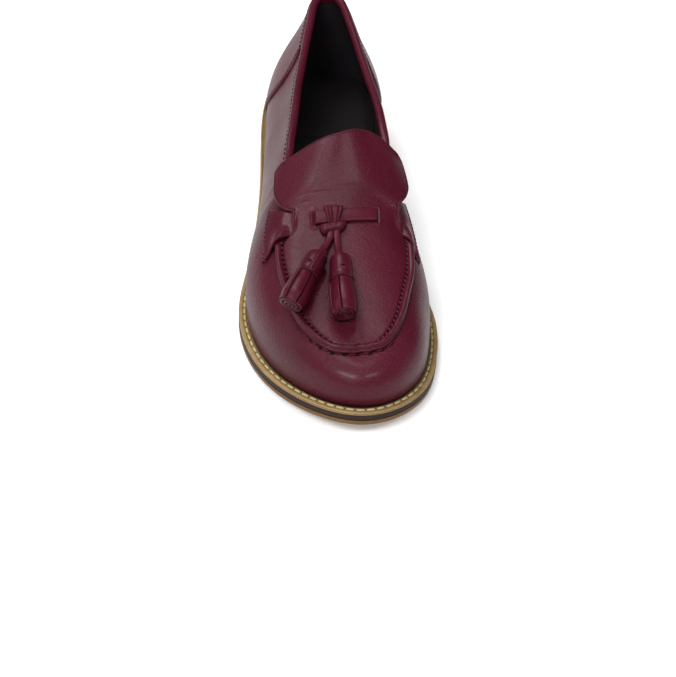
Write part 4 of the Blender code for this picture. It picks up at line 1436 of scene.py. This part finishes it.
def build_straps():
    """Straps: four-cornered patches of the wall, skived under the apron, with a sewn outer end.

    The front edge bows back, and lifts where it runs over the roll.
    """
    names = {LATERAL: "strap_lateral", MEDIAL: "strap_medial"}
    along, out = np.meshgrid(fine_ends(44, 12, 0.09, 0.09), fine_ends(60, 12, 0.0, 0.06), indexing="ij")
    for side in SIDES:
        corners = np.array(STRAPS[side])
        corners[:2, 1] += STRAP_TUCK[side]
        inner_back, inner_front, outer_front, outer_back = corners
        back = inner_back + (outer_back - inner_back) * out[..., None]
        front = inner_front + (outer_front - inner_front) * out[..., None]
        front[..., 0] += STRAP_REACH - STRAP_BOW[side] * np.sin(np.pi * out)
        spot = back + (front - back) * along[..., None]
        base = wall(side, spot[..., 0], spot[..., 1], True)
        normal = wall_normal(side, spot[..., 0], spot[..., 1], True)
        way = way_in(base, ("first", "last", "right"))
        inner = way_in(base, ("left",))
        outer = way_in(base, ("right",))
        clear = ease(inner / 0.6)
        lift = STRAP_LIFT * bell((out - 0.42) / 0.22) * ease((along - 0.45) / 0.55)
        lift = lift + STRAP_TIP_LIFT * ease((out - 0.75) / 0.25) * ease((along - 0.75) / 0.25)
        groove = groove_at(outer, STRAP_GROOVE)
        thinned = 0.14 + 0.46 * clear + 0.40 * ease((inner - 1.0) / 6.0)
        rise = STRAP_THICK * skived(way, 0.8, 0.3) * thinned - STRAP_GROOVE[2] * groove
        rise = rise + STRAP_FULLNESS * np.sin(np.pi * along) * ease((inner - 1.5) / 4.0)
        low = 0.05 + 0.25 * clear + lift * ease(inner / 4.0)
        grids, painted_shade_and_dark_edges = sheet(base, normal, low, low + rise, ALL_EDGES)
        # Painted shade in the sewn groove
        painted_shade_and_dark_edges[0] = 0.9 * groove
        add_piece(names[side], grids, CALF, [names[side]], painted_shade_and_dark_edges)
        row = np.arange(len(outer))
        column = np.argmin(np.abs(outer - STRAP_GROOVE[0]), axis=1)
        line = stitch_row(grids[0][row, column], normal[row, column], "strap")
        add_piece(names[side] + "_stitches", [line], PURPLE_THREAD)


def build_counter():
    """Heel counter, wrapped around the back, with a quarter-round front edge and a sewn line behind it."""
    side_share = fine_ends(70, 16, 0.0, 0.06)
    rows_v = np.linspace(COUNTER_EDGE[0][0], 0.965, 60)
    share, v = np.meshgrid(side_share, rows_v)
    u = share * lookup(COUNTER_EDGE, v)
    half = {side: wall(side, u, v) for side in SIDES}
    normals = {side: wall_normal(side, u, v) for side in SIDES}
    shared = unit(normals[LATERAL] + normals[MEDIAL])
    for side in SIDES:
        normals[side][:, 0] = shared[:, 0]
    base = np.concatenate([half[MEDIAL][:, ::-1], half[LATERAL][:, 1:]], axis=1)
    normal = np.concatenate([normals[MEDIAL][:, ::-1], normals[LATERAL][:, 1:]], axis=1)
    way = way_in(base, ("left", "right"))
    groove = groove_at(way, COUNTER_GROOVE)
    rise = COUNTER_THICK * skived(way, 0.8, 0.25) - COUNTER_GROOVE[2] * groove
    low = 0.12
    grids, painted_shade_and_dark_edges = sheet(base, normal, low, low + rise, ALL_EDGES)
    # Painted shade in the sewn groove
    painted_shade_and_dark_edges[0] = 0.9 * groove
    add_piece("heel_counter", grids, CALF, ["heel_counter"], painted_shade_and_dark_edges)
    middle = way[len(way) // 2]
    quarter = len(middle) // 4
    left, right = (np.argmin(np.abs(run[:quarter] - COUNTER_GROOVE[0])) for run in (middle, middle[::-1]))
    rows = [stitch_row(grids[0][:, column], normal[:, column], "counter") for column in (left, -1 - right)]
    add_piece("counter_stitches", rows, DARK_THREAD_AND_HOLE_SHADE)


def build_binding():
    """Binding carried round the top line: its section rolls over the edge, and a sewn line runs below it."""
    u = BINDING_END * np.linspace(0, 1, 130) ** 1.3
    section = closed_curve(BINDING_SECTION, 72)
    halves, lines, ups = [], [], []
    for side in SIDES:
        top = wall(side, u, 1.0)
        up = unit(top - wall(side, u, 0.99))
        out = wall_normal(side, u, 0.99)
        over = (COUNTER_THICK + 0.1) * (1 - ease((u - 0.185) / 0.03))
        lower = ease((0.4 - section[:, 1]) / 1.2) * (section[:, 0] > -0.6)
        reach = section[None, :, 0] + over[:, None] * lower[None]
        beside = top[:, None] + out[:, None] * reach[..., None]
        halves.append(beside + up[:, None] * section[None, :, 1, None])
        below = np.linalg.norm(top - wall(side, u, 0.95), axis=-1)
        low = 1 - BINDING_STITCH / below * 0.05
        lines.append(wall(side, u, low) + wall_normal(side, u, low) * (0.15 + over)[:, None])
        ups.append(out)
    loops = np.concatenate([halves[0][::-1], halves[1][1:]])
    add_piece("collar_binding", [pole_rows(loops)], CALF, ["collar_binding"])
    path = np.concatenate([lines[0][::-1], lines[1][1:]])
    normal = np.concatenate([ups[0][::-1], ups[1][1:]])
    add_piece("binding_stitches", [stitch_row(path, normal, "binding")], DARK_THREAD_AND_HOLE_SHADE)


# Lace, knot and tassels


def build_lace():
    """Lace across the apron: a crowned band whose ends dive into their slots."""
    rest = GAP + APRON_THICK + 0.25
    b, a = np.meshgrid(fine_ends(24, 8, 0.12, 0.12), fine_ends(70, 10, 0.06, 0.06), indexing="ij")
    first, last = np.array(LACE_ENDS)
    x, rear, front = (first[k] + (last[k] - first[k]) * a for k in range(3))
    base, normal = lay_on(x, rear + (front - rear) * b)
    ends = np.minimum(x - first[0], last[0] - x)
    dive = LACE_DIVE[0] * (1 - ease(ends / LACE_DIVE[1]))
    way = way_in(base, ("first", "last"))
    rise = LACE_THICK * skived(way, 0.9, 0.35) + LACE_CROWN * np.sin(np.pi * b)
    low = rest - dive
    grids, painted_shade_and_dark_edges = sheet(base, normal, low, low + rise, ALL_EDGES)
    # Painted shade where the ends dive into their slots
    painted_shade_and_dark_edges[0] = ease((0.8 - ends) / 0.8)
    add_piece("lace_bar", grids, LACE_CALF, ["lace_bar"], painted_shade_and_dark_edges)


def build_knot():
    """Knot: an upright wrap folded over the lace, and a cross wrap bulging round it, laid over the wall."""
    b, a = np.meshgrid(np.linspace(0, 1, 60), fine_ends(40, 8, 0.08, 0.08), indexing="ij")
    a = 2 * a - 1
    share = np.linspace(0, 1, len(WRAP_UP))
    station, middle, half, lift = (smooth(b, share, row) for row in columns(WRAP_UP))
    folds = sum(depth * groove_at(a, (at, width)) for at, width, depth in WRAP_FOLDS)
    lift = lift - 0.75 * np.abs(a) ** 4 - folds
    base, normal = lay_on(middle + half * a, station)
    low = np.minimum(lift - WRAP_THICK, WRAP_UNDER[0] + WRAP_UNDER[1] * ease(station - WRAP_UNDER[2]))
    upright, shade = sheet(base, normal, low, lift, ALL_EDGES)
    # Painted shade in the upright wrap's folds
    shade[0] = folds
    share, *rows = columns(WRAP_ACROSS)
    station, middle, half, lift = (smooth(b, share, row) for row in rows)
    pleats = sum(depth * groove_at(a, (at, width)) for at, width, depth in WRAP_PLEATS)
    body = skived(1 - np.abs(a), 0.45, 0.35)
    lift = WRAP_SEAT + (lift - WRAP_SEAT) * body - pleats * np.sin(np.pi * b)
    base, normal = lay_on(middle + half * a, station - KNOT_TILT * a)
    low = WRAP_SEAT - 0.15
    across, across_shade = sheet(base, normal, low, lift, ALL_EDGES)
    # Painted shade in the cross wrap's pleats
    across_shade[0] = pleats
    add_piece("knot", upright + across, LACE_CALF, ["knot"], shade + across_shade)


def tassel_path(rows, share):
    """A tassel's line and radius at shares of the way through its rows, counted from 0."""
    count = np.arange(rows.shape[1], dtype=float)
    x, station, lift, radius = (smooth(share, count, values) for values in rows)
    return lay(x, station, lift), radius


def tassel_skin(side):
    """A tassel's cap and fringe: rings round its line, and the rolled end; and the shade painted on each
    point.

    The cap has a flat top, a slit with a lip and a band at its foot. The fringe dips where two strips meet,
    and each strip tilts over the next. The end's rings close to the middle over a spiral of layers.
    """
    rows = columns(TASSELS[side])
    last = rows.shape[1] - 1.0
    start, full = CAP_TOP
    bands = [(start, full, 12), (full, 5.0, 56), (5.0, 6.1, 30), (6.1, last, 70)]
    share = np.unique(np.concatenate([np.linspace(*band) for band in bands]))
    path, radius = tassel_path(rows, share)
    ahead, out, up = path_frame(path)
    run = run_along(path)
    way = (run - np.interp(BAND_ROW, share, run))[:, None]
    top = np.interp(full, share, radius)
    radius = np.where(share < full, top * rounded(share - start, full - start), radius)[:, None]
    radius = radius - 0.7 * ease((way - way[-1] + 5.0) / 5.0)
    angle = np.linspace(0, 2 * np.pi, 145)[None, :-1]
    fringe = ease((way - 0.5) / 0.6)
    band = 0.42 * bell(way / 0.40) - 0.35 * bell((way - 0.85) / 0.3) - 0.2 * bell((way + 0.85) / 0.3)
    turn = (angle / (2 * np.pi) - 0.2) * TASSEL_STRIPS
    split = bell((turn - np.round(turn)) * 2 * np.pi * SPLIT_RADIUS / TASSEL_STRIPS / SPLIT_HALF) * fringe
    tilt = STRIP_TILT * (turn - np.floor(turn) - 0.5) + 0.14 * np.sin(2.3 * np.floor(turn) + side)
    slit_angle, slit_way = CAP_SLIT[side]
    across = (angle - np.radians(slit_angle)) * 5.2
    slit = bell((way + slit_way) / 0.42) * bell(across / 2.0) ** 2
    lip = bell((way + slit_way - 1.0) / 0.45) * bell(across / 2.4) ** 2
    reach = radius + band + tilt * ease((way - 1.0) / 4.0)
    reach = reach - STRIP_DIP * split - SLIT_DEPTH * slit + LIP_HEIGHT * lip
    reach = reach * (1 - 0.06 * np.abs(np.sin(angle)) * (1 - fringe))
    spokes = out[:, None] * np.cos(angle)[..., None] + up[:, None] * np.sin(angle)[..., None]
    skin = path[:, None] + spokes * reach[..., None]
    inward = np.linspace(1, 0.03, 50)[1:, None]
    calm = reach[-1] + (reach[-1].mean() - reach[-1]) * ease((1 - inward) / 0.25)
    spiral = inward * END_LAYERS + angle / (2 * np.pi) + 0.16 * np.sin(2 * angle + 5 * inward) * inward
    layer = bell((spiral - np.round(spiral)) / 0.16) * ease((1 - inward) / 0.12)
    bulge = END_BULGE * rounded(1 - inward, 0.9) - LAYER_DEPTH * layer
    face = path[-1] + spokes[-1][None] * (calm * inward)[..., None] + ahead[-1] * bulge[..., None]
    # Painted shade in the splits between strips, the cap's slit, the groove beside the band and the end's
    # spiral layers
    dark = np.concatenate([np.clip(split + slit + 0.6 * bell((way - 0.85) / 0.3), 0, 1), layer])
    shade = np.pad(np.concatenate([dark, dark[:, :1]], axis=1), ((1, 1), (0, 0)), mode="edge")
    return pole_rows(np.concatenate([skin, face])), shade


def tassel_thong(side):
    """A tassel's thong: a flat strip from the knot to the cap; the lateral one runs on over its cap.

    Its section is wide and flat with round corners. On the cap it climbs to the cap's face and turns with it.
    """
    share = np.linspace(0, THONG_END[side], 46)
    path, radius = tassel_path(columns(TASSELS[side]), share)
    _, out, up = path_frame(path)
    angle = np.radians(THONG_OVER_CAP)
    on_cap = ease((share - 1.7) / 1.3) * (side == LATERAL)
    climb = (np.maximum(radius, np.interp(3.3, share, radius)) + 0.15) * on_cap
    path = path + (out * np.cos(angle) + up * np.sin(angle)) * climb[:, None]
    start = lay(*THONG_START[side])
    path = np.concatenate([start + (path[0] - start) * np.linspace(0, 1, 6)[:-1, None], path])
    ahead, out, up = path_frame(path)
    lean = np.concatenate([np.zeros(5), on_cap])[:, None]
    flat = unit(out + (out * np.sin(angle) - up * np.cos(angle) - out) * lean)
    rise = np.cross(flat, ahead)
    ring = np.linspace(0, 2 * np.pi, 20, endpoint=False)
    wide = THONG_HALF[0] * np.sign(np.cos(ring)) * np.abs(np.cos(ring)) ** 0.6
    tall = THONG_HALF[1] * np.sin(ring)
    return pole_rows(path[:, None] + flat[:, None] * wide[:, None] + rise[:, None] * tall[:, None])


def build_tassels():
    """Tassels: for each a flat thong, and a cap of rolled hide with its fringe."""
    for side, name in ((LATERAL, "tassel_lateral"), (MEDIAL, "tassel_medial")):
        skin, shade = tassel_skin(side)
        add_piece(name, [tassel_thong(side), skin], LACE_CALF, [name], [0.0, shade])


build_sole()
build_welt()
build_insole()
build_upper()
build_apron()
build_roll()
build_straps()
build_counter()
build_binding()
build_lace()
build_knot()
build_tassels()

# Studio: floor, lights and camera


def add_floor():
    """Pale floor under the shoe, with a faint mottle."""
    side = np.linspace(-FLOOR_HALF, FLOOR_HALF, 5)
    x, y = np.meshgrid(side, side)
    mesh = bpy.data.meshes.new("floor")
    points = np.stack([x, y, np.full_like(x, FLOOR_LEVEL)], axis=-1).reshape(-1, 3)
    mesh.from_pydata(points.tolist(), [], grid_faces(len(side), len(side)).tolist())
    material = bpy.data.materials.new("pale floor")
    material.use_nodes = True
    tree = material.node_tree
    shader = tree.nodes["Principled BSDF"]
    where = tree.nodes.new("ShaderNodeTexCoord").outputs["Object"]
    low, high = ((tone, tone, tone, 1) for tone in FLOOR_TONES)
    colour = blend_colours(tree, noise(tree, where, 6.0), low, high)
    tree.links.new(colour, shader.inputs["Base Color"])
    shader.inputs["Roughness"].default_value = 0.9
    shader.inputs["Emission Color"].default_value = (1, 1, 1, 1)
    shader.inputs["Emission Strength"].default_value = FLOOR_GLOW
    mesh.materials.append(material)
    floor = bpy.data.objects.new("floor", mesh)
    bpy.context.scene.collection.objects.link(floor)


def add_light(name, spot, target, size, watts):
    """Soft light at a spot in metres, turned to a target."""
    light = bpy.data.lights.new(name, "AREA")
    light.shape = "RECTANGLE"
    light.size, light.size_y = size
    light.energy = watts
    made = bpy.data.objects.new(name, light)
    made.location = spot
    made.rotation_euler = (Vector(target) - Vector(spot)).to_track_quat("-Z", "Y").to_euler()
    bpy.context.scene.collection.objects.link(made)


def add_camera():
    """Camera at the photograph's angle, rolled, and turned so that the target falls on its pixel."""
    azimuth, elevation, roll = np.radians([CAMERA_AZIMUTH, CAMERA_ELEVATION, CAMERA_ROLL])
    level = np.cos(elevation)
    back = np.array([-np.sin(azimuth) * level, -np.cos(azimuth) * level, np.sin(elevation)])
    right = np.array([np.cos(azimuth), -np.sin(azimuth), 0.0])
    up = np.cross(back, right)
    rolled = right * np.cos(roll) + up * np.sin(roll)
    raised = up * np.cos(roll) - right * np.sin(roll)
    off = (np.array(TARGET_PIXEL) - np.array(FRAME_PIXELS) / 2) / FOCAL_PIXELS
    aim = unit(np.array([off[0], -off[1], -1.0]))
    turn = np.array(Vector((0, 0, -1)).rotation_difference(Vector(aim)).to_matrix())
    axes = turn @ np.array([rolled, raised, back])
    data = bpy.data.cameras.new("camera")
    data.sensor_fit = "HORIZONTAL"
    data.sensor_width = SENSOR
    data.lens = FOCAL_PIXELS / FRAME_PIXELS[0] * SENSOR
    camera = bpy.data.objects.new("camera", data)
    matrix = Matrix(axes.T.tolist()).to_4x4()
    matrix.translation = Vector((np.array(CAMERA_TARGET) + back * CAMERA_DISTANCE) * MM)
    camera.matrix_world = matrix
    bpy.context.scene.collection.objects.link(camera)
    bpy.context.scene.camera = camera


def add_world():
    """White surroundings that are brightest at the horizon, as above a lit floor in a pale room."""
    world = bpy.data.worlds.new("studio")
    world.use_nodes = True
    tree = world.node_tree
    way = tree.nodes.new("ShaderNodeTexCoord").outputs["Generated"]
    height = add_node(tree, "ShaderNodeSeparateXYZ", None, Vector=way).outputs["Z"]
    background = tree.nodes["Background"]
    background.inputs["Color"].default_value = (1, 1, 1, 1)
    glow = span(tree, height, 0.0, SKY_START, HORIZON_GLOW, SKY_GLOW)
    tree.links.new(glow, background.inputs["Strength"])
    bpy.context.scene.world = world
    bpy.context.scene.view_settings.view_transform = "Standard"


add_floor()
for row in LIGHTS:
    add_light(*row)
add_camera()
add_world()
